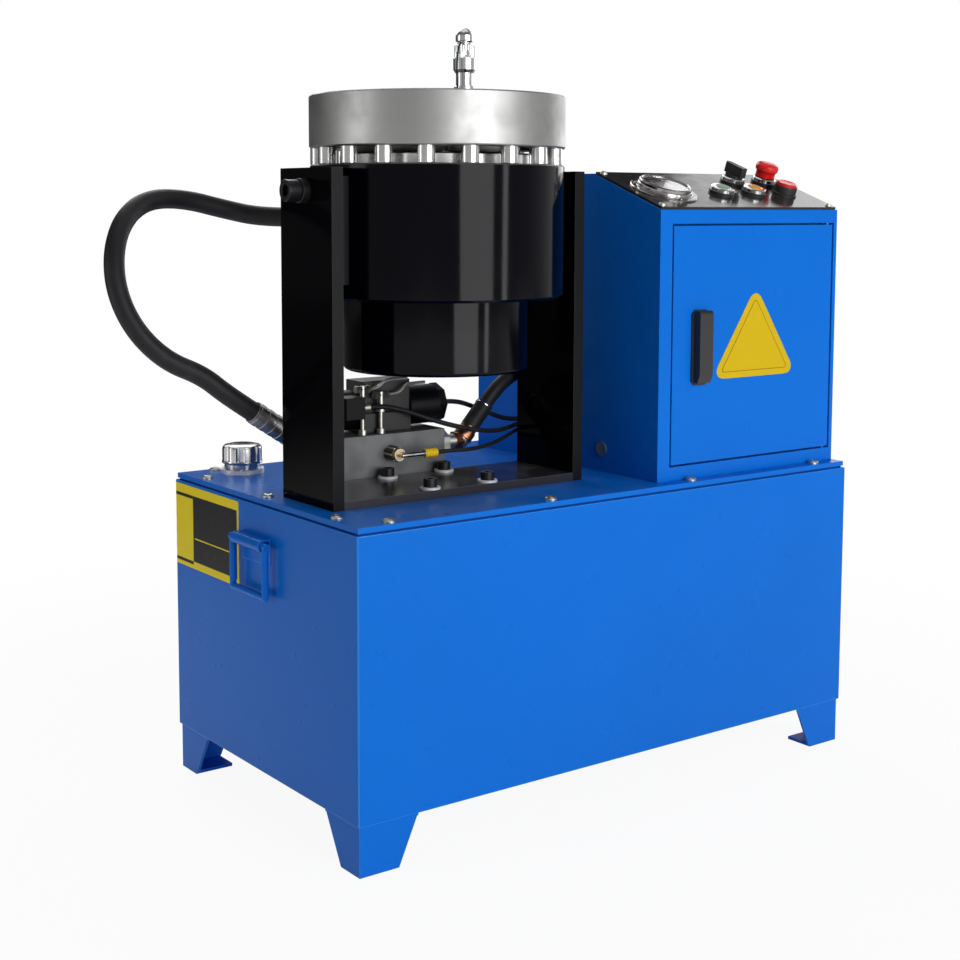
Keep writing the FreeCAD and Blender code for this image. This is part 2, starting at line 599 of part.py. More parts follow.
def make_base_bolts():
    pieces = []
    for x, y in BASE_BOLTS:
        washer = cut(rod(x, y, BASE_TOP, "washer_rad", "washer_thick"),
                     rod(x, y, BASE_TOP + " - 1", "base_bolt_rad + run_gap", "washer_thick + 2"))
        seat = BASE_TOP + " + washer_thick"
        low = LID_TOP + " - lid_thick - nut_tall - 2"
        head = rod(x, y, seat, "base_head_rad", "base_head_tall")
        shank = rod(x, y, low, "base_bolt_rad", "%s - (%s)" % (seat, low))
        socket = hexagon(x, y, seat + " + base_head_tall / 2", "base_head_rad * 0.55", "base_head_tall")
        nut = cut(hexagon(x, y, LID_TOP + " - lid_thick - nut_tall", "base_head_rad * 1.15", "nut_tall"),
                  rod(x, y, LID_TOP + " - lid_thick - nut_tall - 1", "base_bolt_rad + run_gap",
                      "nut_tall + 2"))
        pieces += [washer, cut(fuse(head, shank), socket), nut]
    return node("base_bolts", group(*pieces))


def make_barrel():
    """The cylinder that carries the ring: a bored steel body with a floor the ram passes."""
    barrel = new_body()
    revolve(barrel, [("rod_rad + run_gap", "0"), ("barrel_rad - barrel_break", "0"),
                     ("barrel_rad", "barrel_break"),
                     ("barrel_rad", "barrel_tall - ring_break"), ("barrel_rad - ring_break", "barrel_tall"),
                     (BOWL_BORE, "barrel_tall"), (BOWL_BORE, "barrel_floor"),
                     ("rod_rad + run_gap", "barrel_floor")])
    flat = sketch(barrel, offset="pad_low")
    for side in (-1, 1):
        rect(flat, "%s * %s" % (side, PLATE_IN), "-pad_wide / 2", "%s * (barrel_rad - 12)" % side,
             "pad_wide / 2")
    pad(barrel, flat, "pad_tall")
    post = circles(sketch(barrel, offset="barrel_tall"), [("0", "-post_circle")], "post_bolt_rad + run_gap")
    polar(barrel, [pocket(barrel, post, "post_thread")], "post_count")
    for side in (-1, 1):
        hole = circles(sketch(barrel, "YZ_Plane", "%s * (%s + 1)" % (side, PLATE_IN)),
                       [("0", "barrel_tall - side_screw_drop")], "side_screw_rad + run_gap")
        pocket(barrel, hole, "%s - barrel_rad + side_thread + 1" % PLATE_IN, up=side < 0)
    put(barrel, "head_x", "head_y", BARREL_Z)
    ports = [radial_rod(turn, "barrel_rad - port_deep", "%s + %s" % (BARREL_Z, high), "port_rad",
                        "port_deep + 5")
             for turn, high in PORTS]
    node("barrel", cut(barrel, *ports))

    lower = turn_about("head_x", "head_y", [
        ("0", "0"), ("lower_rad - barrel_break", "0"), ("lower_rad", "barrel_break"),
        ("lower_rad", "lower_tall"),
        ("lower_bore", "lower_tall"), ("lower_bore", "lower_floor"), ("0", "lower_floor")], LOWER_Z)
    return node("lower_housing", lower)


def make_posts():
    """The ring of spacer posts with the long screws that pull the ring down on them."""
    posts = new_body()
    flat = sketch(posts)
    circles(flat, [("0", "-post_circle")], "post_rad")
    circles(flat, [("0", "-post_circle")], "post_bolt_rad + run_gap")
    polar(posts, [pad(posts, flat, "ring_lift")], "post_count")
    put(posts, "head_x", "head_y", BARREL_TOP)
    node("pillar_sleeves", posts)

    bolts = new_body()
    reach = "(post_thread - 2 + ring_lift + ring_tall - post_head_tall - 1)"
    shank = pad(bolts, circles(sketch(bolts), [("0", "-post_circle")], "post_bolt_rad"), reach, back=True)
    head = pad(bolts, circles(sketch(bolts), [("0", "-post_circle")], "post_head_rad"), "post_head_tall")
    socket = sketch(bolts, offset="post_head_tall")
    outline(socket, [(a, "%s - post_circle" % b) for a, b in hex_points("post_head_rad * 0.55")])
    polar(bolts, [shank, head, pocket(bolts, socket, "post_head_tall / 2")], "post_count")
    put(bolts, "head_x", "head_y", RING_TOP + " - post_head_tall - 1")
    return node("ring_bolts", bolts)


def make_ring():
    """The top ring: a skirt round the bowl and a flange that holds the dies down."""
    ring = new_body()
    flange = "(ring_tall - ring_flange)"
    revolve(ring, [(BOWL_BORE, "0"), ("ring_rad - ring_break", "0"), ("ring_rad", "ring_break"),
                   ("ring_rad", "ring_tall - ring_break"), ("ring_rad - ring_break", "ring_tall"),
                   ("entry_rad + entry_break", "ring_tall"), ("entry_rad", "ring_tall - entry_break"),
                   ("entry_rad", flange), (BOWL_BORE, flange)])
    post = circles(sketch(ring), [("0", "-post_circle")], "post_bolt_rad + run_gap")
    seat = circles(sketch(ring, offset="ring_tall"), [("0", "-post_circle")], "post_head_rad + slide_gap")
    polar(ring, [pocket(ring, post, up=True), pocket(ring, seat, "post_head_tall + 1")], "post_count")
    put(ring, "head_x", "head_y", RING_Z)
    slots = []
    for k in range(int(value("die_count"))):
        turn = "(die_phase + 360 / die_count * %d)" % k
        slot = box("0", "0", "0", "key_out - key_in + 2 * slide_gap + 20", "key_wide + 2 * slide_gap",
                   "key_tall + 2 * slide_gap")
        start, half = "(key_in - 20)", "(key_wide / 2 + slide_gap)"
        put(slot, "head_x + %s * cos(%s) + %s * sin(%s)" % (start, turn, half, turn),
            "head_y + %s * sin(%s) - %s * cos(%s)" % (start, turn, half, turn), FLANGE_Z + " - slide_gap",
            ((0, 0, 1), turn))
        slots.append(slot)
    stop = rod(STOP_X, STOP_Y, FLANGE_Z + " - 1", "stop_rad + slide_gap", "ring_flange")
    stem = rod(STOP_X, STOP_Y, RING_TOP + " - gauge_stem_tall", "gauge_stem_rad + run_gap",
               "gauge_stem_tall + 1")
    lead = rod(LEAD_X, LEAD_Y, RING_TOP + " - 8", "1.6", "9")
    return node("top_ring", cut(ring, stop, stem, lead, *slots))


def make_side_screws():
    pieces = []
    for side, along in ((-1, "-x"), (1, "x")):
        face = "head_x + %s * frame_wide / 2" % side
        collar = cut(rod(face, "head_y", SIDE_SCREW_Z, "collar_rad", "collar_thick", along),
                     rod("%s - %s" % (face, side), "head_y", SIDE_SCREW_Z, "side_screw_rad + run_gap",
                         "collar_thick + 2", along))
        seat = "%s + %s * collar_thick" % (face, side)
        head = rod(seat, "head_y", SIDE_SCREW_Z, "side_head_rad", "side_head_tall", along)
        start = "head_x + %s * (barrel_rad - side_thread + 1)" % side
        shank = rod(start, "head_y", SIDE_SCREW_Z, "side_screw_rad",
                    "frame_wide / 2 + collar_thick - barrel_rad + side_thread", along)
        socket = hexagon("%s + %s * side_head_tall / 2" % (seat, side), "head_y", SIDE_SCREW_Z,
                         "side_head_rad * 0.6", "side_head_tall", along)
        pieces += [collar, cut(fuse(head, shank), socket)]
    return node("side_screws", group(*pieces))


def make_ram():
    """The ram: a rod through the barrel floor with the return piston on its foot."""
    foot = "(lower_floor + piston_lift)"
    top = "(lower_tall + barrel_floor + chamber_gap)"
    piston = "(lower_bore - run_gap)"
    groove = "(%s + piston_tall * 0.6)" % foot
    ram = turn_about("head_x", "head_y", [
        ("0", foot), (piston + " - 6", foot), (piston, foot + " + 6"), (piston, groove),
        (piston + " - 4", groove),
        (piston + " - 4", groove + " + 5"), (piston, groove + " + 5"), (piston, foot + " + piston_tall"),
        ("rod_rad", foot + " + piston_tall"), ("rod_rad", top), ("0", top)], LOWER_Z)
    return node("ram", ram)


def make_bowl():
    """The wedge bowl: flat wedge faces, one a die, open upward and narrowing downward."""
    bowl = new_body()
    revolve(bowl, [("0", "0"), ("bowl_rad - bowl_break", "0"), ("bowl_rad", "bowl_break"),
                   ("bowl_rad", "bowl_tall - bowl_break / 2"), ("bowl_rad - bowl_break / 2", "bowl_tall"),
                   ("0", "bowl_tall")])
    loft = body_loft(bowl, [("bowl_floor", "bowl_mouth - (bowl_tall - bowl_floor) * tan(wedge_angle)"),
                            ("bowl_tall + 1", "bowl_mouth + tan(wedge_angle)")])
    stop = circles(sketch(bowl, offset="bowl_tall - 2"),
                   [("stop_circle * cos(stop_turn)", "stop_circle * sin(stop_turn)")], "stop_rad")
    pad(bowl, stop, "stop_tall + 2")
    put(bowl, "head_x", "head_y", BOWL_Z, ((0, 0, 1), "die_phase"))
    return node("cone_bowl", bowl)


def body_loft(body, levels):
    """Cuts a many-sided tapering hole whose flats lie at the stated distance from the axis."""
    sides = int(value("die_count"))
    flats = []
    for height, flat_at in levels:
        ring = sketch(body, offset=height)
        far = "(%s) / cos(180 / die_count)" % flat_at
        outline(ring, [("%s * cos(180 / die_count * %d)" % (far, 2 * k + 1),
                        "%s * sin(180 / die_count * %d)" % (far, 2 * k + 1)) for k in range(sides)])
        flats.append(ring)
    loft = body.newObject("PartDesign::SubtractiveLoft", label("loft"))
    loft.Profile = flats[0]
    loft.Sections = flats[1:]
    loft.Ruled = True
    return loft


def make_dies():
    """One die drawn on the +X axis, then turned to each of its places."""
    die = new_body()
    low, high = DIE_Z, DIE_TOP
    back = "(bowl_mouth + (%s - %s) * tan(wedge_angle) - slide_gap)"
    flat = sketch(die, "XZ_Plane")
    outline(flat, [("jaw_rad / 2", low), (back % (low, BOWL_TOP), low), (back % (high, BOWL_TOP), high),
                   ("jaw_rad / 2", high)])
    pad(die, flat, "bowl_rad * 2", both=True)
    key = sketch(die, offset=high + " - 1")
    rect(key, "key_in", "-key_wide / 2", "key_out", "key_wide / 2")
    pad(die, key, "key_tall + 1")
    flank = sketch(die)
    slip = "die_side_gap / cos(180 / die_count)"
    near, far = "jaw_rad / 4", "bowl_rad * 1.2"
    for s in ("", "-"):
        outline(flank, [(near, "%s(%s * tan(180 / die_count) - %s)" % (s, near, slip)),
                        (far, "%s(%s * tan(180 / die_count) - %s)" % (s, far, slip)),
                        (far, "%s(bowl_rad * 1.2)" % s), (near, "%s(bowl_rad * 1.2)" % s)])
    pocket(die, flank, up=True)
    pocket(die, circles(sketch(die), [("0", "0")], "jaw_rad"), up=True)
    relief = circles(sketch(die, offset=high + " - jaw_tall"), [("0", "0")], "relief_rad")
    pocket(die, relief)
    for k in range(int(value("die_count"))):
        turned = group(die)
        put(turned, "head_x", "head_y", "0", ((0, 0, 1), "die_phase + 360 / die_count * %d" % k))
        node("die_%d" % (k + 1), turned)


def make_micrometer():
    """The travel micrometer: a fixed sleeve and a thimble whose spindle meets the stop pin."""
    tip = "(-ring_flange + spindle_tip)"
    sleeve = turn_about(STOP_X, STOP_Y, [
        ("spindle_rad + run_gap", "-gauge_stem_tall"), ("gauge_stem_rad", "-gauge_stem_tall"),
        ("gauge_stem_rad", "0"), ("sleeve_rad + 2", "0"), ("sleeve_rad + 2", "5"), ("sleeve_rad", "6"),
        ("sleeve_rad", "sleeve_tall"), ("spindle_rad + run_gap", "sleeve_tall")], RING_TOP)
    node("micrometer_sleeve", sleeve)
    inner = "(sleeve_rad + slide_gap)"
    roof = "(sleeve_tall + slide_gap)"
    low, knurl = "thimble_low", "(thimble_low + thimble_tall)"
    neck = "(thimble_low + thimble_tall + knurl_tall)"
    dome = "(thimble_low + thimble_tall + knurl_tall + neck_small_tall)"
    thimble = turn_about(STOP_X, STOP_Y, [
        ("0", tip), ("spindle_rad", tip), ("spindle_rad", roof), (inner, roof), (inner, low),
        ("thimble_rad - 2", low), ("thimble_rad", low + " + 3"), ("thimble_rad", knurl),
        ("knurl_rad", knurl),
        ("knurl_rad", neck), ("neck_small", neck), ("neck_small", dome), ("dome_rad", dome),
        ("dome_rad", dome + " + dome_tall * 0.45"), ("dome_rad * 0.8", dome + " + dome_tall * 0.8"),
        ("dome_rad * 0.4", dome + " + dome_tall"), ("0", dome + " + dome_tall")], RING_TOP)
    return node("micrometer_thimble", thimble)


def make_valves():
    block = new_body()
    flat = sketch(block)
    rect(flat, "0", "0", "block_long", "block_deep")
    pad(block, flat, "block_tall")
    put(block, "block_x", "block_y", LID_TOP)
    node("valve_block", block)

    foot_z = LID_TOP + " + block_tall"
    foot = box("valve_x", "valve_y", foot_z, "valve_long", "valve_deep", "valve_foot")
    middle = box("valve_x", "valve_y + 3", foot_z + " + valve_foot", "valve_long", "valve_deep - 6",
                 "valve_tall - valve_foot")
    node("valve_body", fuse(foot, middle))

    pieces = []
    axis_y = "valve_y + valve_deep / 2"
    axis_z = foot_z + " + coil_high"
    for side, along in ((-1, "-x"), (1, "x")):
        start = "valve_x + valve_long" if side > 0 else "valve_x"
        coil = rod(start, axis_y, axis_z, "coil_rad", "coil_long", along)
        nut = rod("%s + %s * coil_long" % (start, side), axis_y, axis_z, "coil_rad * 0.55", "coil_nut",
                  along)
        plug = box("%s + %s * coil_long / 2 - connector / 2" % (start, side), "valve_y - connector * 0.6",
                   axis_z + " - connector / 2 + 6", "connector", "connector", "connector")
        pieces.append(fuse(coil, nut, plug) if side < 0 else fuse(coil, nut))
    return node("valve_coils", group(*pieces))


def lean_rod(x, y, z, radius, start, length, lean, side):
    """A cylinder in an X-Z plane, rising by the named angle to one side of the point."""
    along_x = "%s + %s * (%s) * cos(%s)" % (x, side, start, lean)
    along_z = "%s + (%s) * sin(%s)" % (z, start, lean)
    bar = doc.addObject("Part::Cylinder", label("rod"))
    bind(bar, Radius=radius, Height=length)
    return put(bar, along_x, y, along_z, ((0, 1, 0), "%s * (90 - %s)" % (side, lean)))


def elbow_set(x, y, z, hose, reach, lean, nut, ferrule, side):
    """Adaptor out of a block end, elbow, swivel nut and crimped ferrule as one hose end."""
    along = "x" if side > 0 else "-x"
    adaptor = hexagon(x, y, z, "hex_size", "adaptor_long - 2", along)
    neck = rod(x, y, z, "elbow_rad * 0.8", reach, along)
    ball = doc.addObject("Part::Sphere", label("ball"))
    bind(ball, Radius="elbow_rad")
    middle = "%s + %s * %s" % (x, side, reach)
    put(ball, middle, y, z)
    swivel = lean_rod(middle, y, z, "%s + ferrule_wall" % hose, "4", nut, lean, side)
    collar = lean_rod(middle, y, z, "%s + ferrule_wall * 0.6" % hose, "4 + " + nut, ferrule, lean, side)
    return fuse(adaptor, neck, ball, swivel, collar)


def make_fittings():
    left = elbow_set("block_x", "left_port_y", LID_TOP + " + left_port_z", "main_hose_rad",
                     "left_reach", "left_lean", "left_nut", "left_ferrule", -1)
    right = elbow_set("block_x + block_long", "right_port_y", LID_TOP + " + right_port_z", "pump_hose_rad",
                      "right_reach", "right_lean", "right_nut", "right_ferrule", 1)
    high = BARREL_Z + " + left_port_high"
    seat = radial_rod("left_port_turn", "barrel_rad - port_deep / 2", high, "port_rad - run_gap",
                      "port_deep")
    nut = radial_rod("left_port_turn", "barrel_rad", high, "hex_size", "adaptor_long")
    collar = radial_rod("left_port_turn", "barrel_rad + adaptor_long", high, "main_hose_rad + ferrule_wall",
                        "head_ferrule")
    head = fuse(seat, nut, collar)

    test_z = LID_TOP + " + test_port_z"
    hexa = hexagon("test_port_x", "block_y", test_z, "test_hex", "test_hex_long", "-y")
    ring_y = "block_y - test_hex_long"
    ring = rod("test_port_x", ring_y, test_z, "test_ring_rad", "test_ring_long", "-y")
    bend_y = ring_y + " - test_ring_long - test_tube_out"
    stub = rod("test_port_x", ring_y + " - test_ring_long", test_z, "test_tube_rad", "test_tube_out", "-y")
    bend = doc.addObject("Part::Sphere", label("ball"))
    bind(bend, Radius="test_tube_rad")
    put(bend, "test_port_x", bend_y, test_z)
    tube = rod("test_port_x", bend_y, test_z, "test_tube_rad", "test_tube_long", "x")
    ferrule = rod("test_port_x + test_tube_long", bend_y, test_z, "test_ferrule_rad",
                  "test_ferrule_long", "x")
    pieces = [left, right, head, fuse(hexa, ring, stub, bend, tube, ferrule)]

    for k in range(3):
        gland = fuse(rod("cabinet_x", "gland_y + %d * gland_pitch" % k, LID_TOP + " + gland_high",
                         "gland_rad",
                         "gland_long", "-x"),
                     rod("cabinet_x", "gland_y + %d * gland_pitch" % k, LID_TOP + " + gland_high",
                         "gland_rad - 1.5", "cabinet_wall + 4", "x"))
        pieces.append(gland)
    union = fuse(rod("cabinet_x", "union_y", LID_TOP + " + union_high", "pump_hose_rad + ferrule_wall",
                     "union_long", "-x"),
                 rod("cabinet_x", "union_y", LID_TOP + " + union_high", "pump_hose_rad",
                     "cabinet_wall + 10", "x"))
    coil_end = "valve_x + valve_long + coil_long + coil_nut"
    coil_y, coil_z = "valve_y + valve_deep / 2", LID_TOP + " + block_tall + coil_high"
    left_gland = "valve_x - coil_long / 2 + connector / 2"
    pieces += [union, rod(coil_end, coil_y, coil_z, "gland_rad", "gland_long", "x"),
               rod(left_gland, "valve_y - connector * 0.35", coil_z + " + 6", "gland_rad", "gland_long",
                   "x")]
    eyelet_z = RING_TOP + " + thimble_low + thimble_tall + knurl_tall + neck_small_tall / 2"
    eyelet = cut(rod(STOP_X, STOP_Y, eyelet_z, "eyelet_rad", "eyelet_thick"),
                 rod(STOP_X, STOP_Y, eyelet_z + " - 1", "neck_small + slide_gap", "eyelet_thick + 2"))
    pieces += [eyelet, make_grommet()]
    return node("line_fittings", group(*pieces))


# Routes of the hoses and cables, from one held end to the other
MAIN_HOSE = [(-282.6, 92.3, 690), (-303.2, 121.7, 690), (-337, 146, 699), (-385, 154, 711), (-437, 141, 711),
             (-479, 115, 690), (-504, 90, 653), (-509, 72, 608), (-494, 58, 565), (-463, 45, 531),
             (-425, 33, 514), (-399.1, 25, 490.8), (-366.3, 25, 469.3)]
PUMP_HOSE = [(-45.2, 12, 457.1), (-32.8, 12, 470.8), (-18.3, 12, 482.4), (-2.1, 12, 491.3),
             (15.4, 12, 497.4),
             (33.6, 12, 500.4), (52, 12, 500.4)]
GAUGE_HOSE = [(-152, -34, 411), (-132, -34, 411), (-98, -30, 409), (-62, -20, 410), (-28, -6, 415),
              (4, 6, 423), (32, 10, 428), (54, 10, 428)]
LEFT_CABLE = [(-227, -1.1, 467), (-207, -1.1, 467), (-178, -4, 460), (-146, -7, 448), (-112, -9, 437),
              (-74, -9, 428), (-36, -2, 423), (0, 14, 425), (30, 26, 428), (54, 26, 428)]
RIGHT_CABLE = [(-96, 31, 461), (-78, 31, 461), (-50, 33, 452), (-20, 37, 440), (6, 41, 431), (30, 42, 428),
               (54, 42, 428)]


def tube(name, points, radius):
    """A round tube along straight runs joined by tangent arcs."""
    spots = [Vector(*p) for p in points]
    edges = []
    start = spots[0]
    radii = []
    for a, b, c in zip(spots, spots[1:], spots[2:]):
        into, out = (b - a), (c - b)
        run = min(into.Length, out.Length)
        into.normalize()
        out.normalize()
        half = into.getAngle(out) / 2
        setback = 0.45 * run
        radii.append(setback / math.tan(half))
        first, last = b - into * setback, b + out * setback
        bulge = (out - into)
        bulge.normalize()
        middle = b + bulge * (radii[-1] / math.cos(half) - radii[-1])
        edges.append(Part.LineSegment(start, first).toShape())
        edges.append(Part.Arc(first, middle, last).toShape())
        start = last
    edges.append(Part.LineSegment(start, spots[-1]).toShape())
    path = Part.Wire(edges)
    way = spots[1] - spots[0]
    section = Part.Wire([Part.Circle(spots[0], way, radius).toShape()])
    solid = path.makePipeShell([section], True, False)
    length = path.Length
    ideal = math.pi * radius * radius * length
    print("%s: length %.0f, smallest radius %.0f, volume off by %.2f %%"
          % (name, length, min(radii), 100 * (solid.Volume / ideal - 1)))
    piece = doc.addObject("Part::Feature", label("tube"))
    piece.Shape = solid
    return node(name, piece)


def make_lines():
    tube("main_hose", MAIN_HOSE, value("main_hose_rad"))
    tube("pump_hose", PUMP_HOSE, value("pump_hose_rad"))
    tube("gauge_hose", GAUGE_HOSE, value("gauge_hose_rad"))
    tube("valve_cable_left", LEFT_CABLE, value("cable_rad"))
    tube("valve_cable_right", RIGHT_CABLE, value("cable_rad"))
    x, y, top = value(STOP_X), value(STOP_Y), value(RING_TOP)
    end_x, end_y = value(LEAD_X), value(LEAD_Y)
    eyelet_z = top + value("thimble_low + thimble_tall + knurl_tall + neck_small_tall / 2 + eyelet_thick / 2")
    side = Vector(end_x - x, end_y - y, 0)
    side.normalize()
    out = [(value("eyelet_rad"), 0), (13, 0), (19.5, -6), (22.5, -14), (23.5, -24), (23.5, -34), (22.5, -42)]
    points = [(x + side.x * r, y + side.y * r, eyelet_z + down) for r, down in out]
    points += [(end_x, end_y, top + 6), (end_x, end_y, top - 4)]
    tube("micrometer_lead", points, value("lead_rad"))


def make_cabinet():
    shell = new_body()
    rise = "panel_long * sin(panel_slope)"
    run = "panel_long * cos(panel_slope)"
    flat = sketch(shell, "YZ_Plane")
    outline(flat, [("0", "0"), ("0", "cabinet_tall"), (run, "cabinet_tall + " + rise),
                   ("cabinet_deep", "cabinet_tall + " + rise), ("cabinet_deep", "0")])
    pad(shell, flat, "cabinet_wide")
    wall = "cabinet_wall"
    flat = sketch(shell, "YZ_Plane", wall)
    slope_in = wall + " * (1 - sin(panel_slope)) / cos(panel_slope)"
    outline(flat, [(wall, "-1"), (wall, "cabinet_tall - " + slope_in),
                   ("%s + %s * tan(panel_slope / 2)" % (run, wall), "cabinet_tall + %s - %s" % (rise, wall)),
                   ("cabinet_deep - " + wall, "cabinet_tall + %s - %s" % (rise, wall)),
                   ("cabinet_deep - " + wall, "-1")])
    pocket(shell, flat, "cabinet_wide - 2 * cabinet_wall", up=True)
    put(shell, "cabinet_x", "cabinet_front", LID_TOP)

    x0, x1 = "door_x - door_gap", "door_x + door_wide + hinge_gap"
    z0, z1 = "%s - door_gap" % DOOR_Z, "%s + door_tall + door_gap" % DOOR_Z
    wide, tall = "(%s) - (%s)" % (x1, x0), "door_tall + 2 * door_gap"
    opening = box(x0, "cabinet_front - 1", z0, wide, "rebate_deep + 10", tall)
    rebate = cut(box(x0 + " - cabinet_wall", "cabinet_front", z0 + " - cabinet_wall",
                     wide + " + 2 * cabinet_wall",
                     "rebate_deep", tall + " + 2 * cabinet_wall"),
                 box(x0, "cabinet_front - 1", z0, wide, "rebate_deep + 2", tall))
    lip = cut(box(x0 + " - cabinet_wall", "cabinet_front + rebate_deep - cabinet_wall",
                  z0 + " - cabinet_wall",
                  wide + " + 2 * cabinet_wall", "cabinet_wall", tall + " + 2 * cabinet_wall"),
              box(x0 + " + rebate_lip", "cabinet_front", z0 + " + rebate_lip", wide + " - 2 * rebate_lip",
                  "rebate_deep + 2", tall + " - 2 * rebate_lip"))
    well = new_body()
    flat = sketch(well, offset="-6")
    rect(flat, "cabinet_x + 14", "14", "cabinet_x + cabinet_wide - 14", "panel_long - 14")
    pad(well, flat, "12")
    on_panel(well)
    tools = [opening, well]
    for x, s in PANEL_SCREWS:
        hole = new_body()
        pad(hole, circles(sketch(hole, offset="-6"), [(x, s)], "panel_screw_rad + run_gap"), "12")
        tools.append(on_panel(hole))
    for k in range(3):
        tools.append(rod("cabinet_x - 1", "gland_y + %d * gland_pitch" % k, LID_TOP + " + gland_high",
                         "gland_rad - 1.5 + run_gap", "cabinet_wall + 2", "x"))
    tools.append(rod("cabinet_x - 1", "union_y", LID_TOP + " + union_high", "pump_hose_rad + run_gap",
                     "cabinet_wall + 2", "x"))
    tools.append(rod("cabinet_x - 1", "grommet_y", LID_TOP + " + grommet_high", "grommet_rad",
                     "cabinet_wall + 2", "x"))
    for k in range(int(value("louvre_count"))):
        tools.append(box("cabinet_x + cabinet_wide / 2 - louvre_wide / 2",
                         CABINET_BACK + " - cabinet_wall - 1",
                         "%s + cabinet_tall * 0.42 + %d * louvre_pitch" % (LID_TOP, k), "louvre_wide",
                         "cabinet_wall + 2", "louvre_tall"))
    body = cut(shell, *tools)
    floor = cut(box("cabinet_x", "cabinet_front", LID_TOP, "cabinet_wide", "cabinet_deep", "cabinet_wall"),
                box("cabinet_x + floor_lip", "cabinet_front + floor_lip", LID_TOP + " - 1",
                    "cabinet_wide - 2 * floor_lip",
                    "cabinet_deep - 2 * floor_lip", "cabinet_wall + 2"))
    pivots = [rod("door_x + door_wide - pivot_in", "cabinet_front + pivot_in", z, "pivot_rad + run_gap", "6")
              for z in (z0 + " - 4", z1 + " - 2")]
    return node("cabinet_shell", cut(fuse(body, rebate, lip, floor), *pivots))


def make_door():
    z = DOOR_Z
    outer = box("door_x", "cabinet_front", z, "door_wide", "door_fold", "door_tall")
    inner = box("door_x + cabinet_wall", "cabinet_front + cabinet_wall", z + " + cabinet_wall",
                "door_wide - 2 * cabinet_wall", "door_fold", "door_tall - 2 * cabinet_wall")
    hole = rod("lock_x", "cabinet_front - 1", LOCK_Z, "lock_spindle + run_gap", "6", "y")
    pins = [rod("door_x + door_wide - pivot_in", "cabinet_front + pivot_in", at, "pivot_rad", "door_gap + 4")
            for at in (z + " - door_gap - 2", z + " + door_tall - 2")]
    node("door", fuse(cut(outer, inner, hole), *pins))

    plate = new_body()
    flat = sketch(plate, "XZ_Plane")
    half = "lock_wide / 2"
    outline(flat, [("-%s" % half, "5"), ("-%s + 5" % half, "0"), ("%s - 5" % half, "0"), (half, "5"),
                   (half, "lock_tall - 5"), ("%s - 5" % half, "lock_tall"), ("-%s + 5" % half, "lock_tall"),
                   ("-%s" % half, "lock_tall - 5")])
    pad(plate, flat, "lock_base")
    put(plate, "lock_x", "cabinet_front", "%s + lock_low" % LID_TOP)
    hole = rod("lock_x", "cabinet_front + 1", LOCK_Z, "lock_spindle + run_gap", "lock_base + 2", "-y")
    node("lock_plate", cut(plate, hole))

    pin_z = LOCK_Z + " + lever_pin_up"
    back = "cabinet_front - lock_base - slide_gap"
    pin_y = back + " - lever_thick / 2"
    spindle = rod("lock_x", "cabinet_front + rebate_deep + 6", LOCK_Z, "lock_spindle",
                  "rebate_deep + 6 + lock_base", "-y")
    tip = rod("lock_x", "cabinet_front", LOCK_Z, "head_wide / 2", "lock_base + slide_gap + 1", "-y")
    head = box("lock_x - head_wide / 2", pin_y + " - lever_boss", LOCK_Z + " - lock_spindle + 1",
               "head_wide",
               "lever_thick / 2 + lever_boss", "lever_pin_up + lock_spindle - 1")
    boss = rod("lock_x - head_wide / 2", pin_y, pin_z, "lever_boss", "head_wide", "x")
    bore = rod("lock_x - head_wide / 2 - 1", pin_y, pin_z, "lever_pin_rad + run_gap", "head_wide + 2", "x")
    arm = box("lock_x - 7", "cabinet_front + rebate_deep + 2", LOCK_Z + " - cam_long", "14", "3",
              "cam_long + 7")
    node("lock_cam", fuse(cut(fuse(spindle, tip, head, boss), bore), arm))

    lever = new_body()
    flat = sketch(lever, "YZ_Plane")
    outline(flat, [("0", "lever_low"), ("0", "lock_tall - spindle_drop + lever_pin_up"),
                   ("-lever_thick", "lock_tall - spindle_drop + lever_pin_up"),
                   ("-lever_thick", "lever_low + 10"),
                   ("-lever_thick * 0.6", "lever_low")])
    pad(lever, flat, "lever_wide", both=True)
    put(lever, "lock_x", back, "%s + lock_low" % LID_TOP)
    round_top = rod("lock_x - lever_wide / 2", pin_y, pin_z, "lever_thick / 2", "lever_wide", "x")
    half = "(head_wide / 2 + slide_gap)"
    well = box("lock_x - " + half, pin_y, LOCK_Z + " - lock_spindle - 1", "2 * " + half, "lever_thick",
               "lever_pin_up + lock_spindle + 1")
    front_well = box("lock_x - " + half, pin_y + " - lever_boss - slide_gap", LOCK_Z + " - lock_spindle - 1",
                     "2 * " + half, "lever_thick", "lever_pin_up + lock_spindle + 1")
    round_well = rod("lock_x - " + half, pin_y, pin_z, "lever_boss + slide_gap", "2 * " + half, "x")
    open_top = box("lock_x - " + half, pin_y, pin_z + " - 1", "2 * " + half, "lever_thick", "lever_thick")
    pin = rod("lock_x - lever_wide / 2 + 1", pin_y, pin_z, "lever_pin_rad", "lever_wide - 2", "x")
    return node("lock_lever", fuse(cut(fuse(lever, round_top), well, front_well, round_well, open_top), pin))


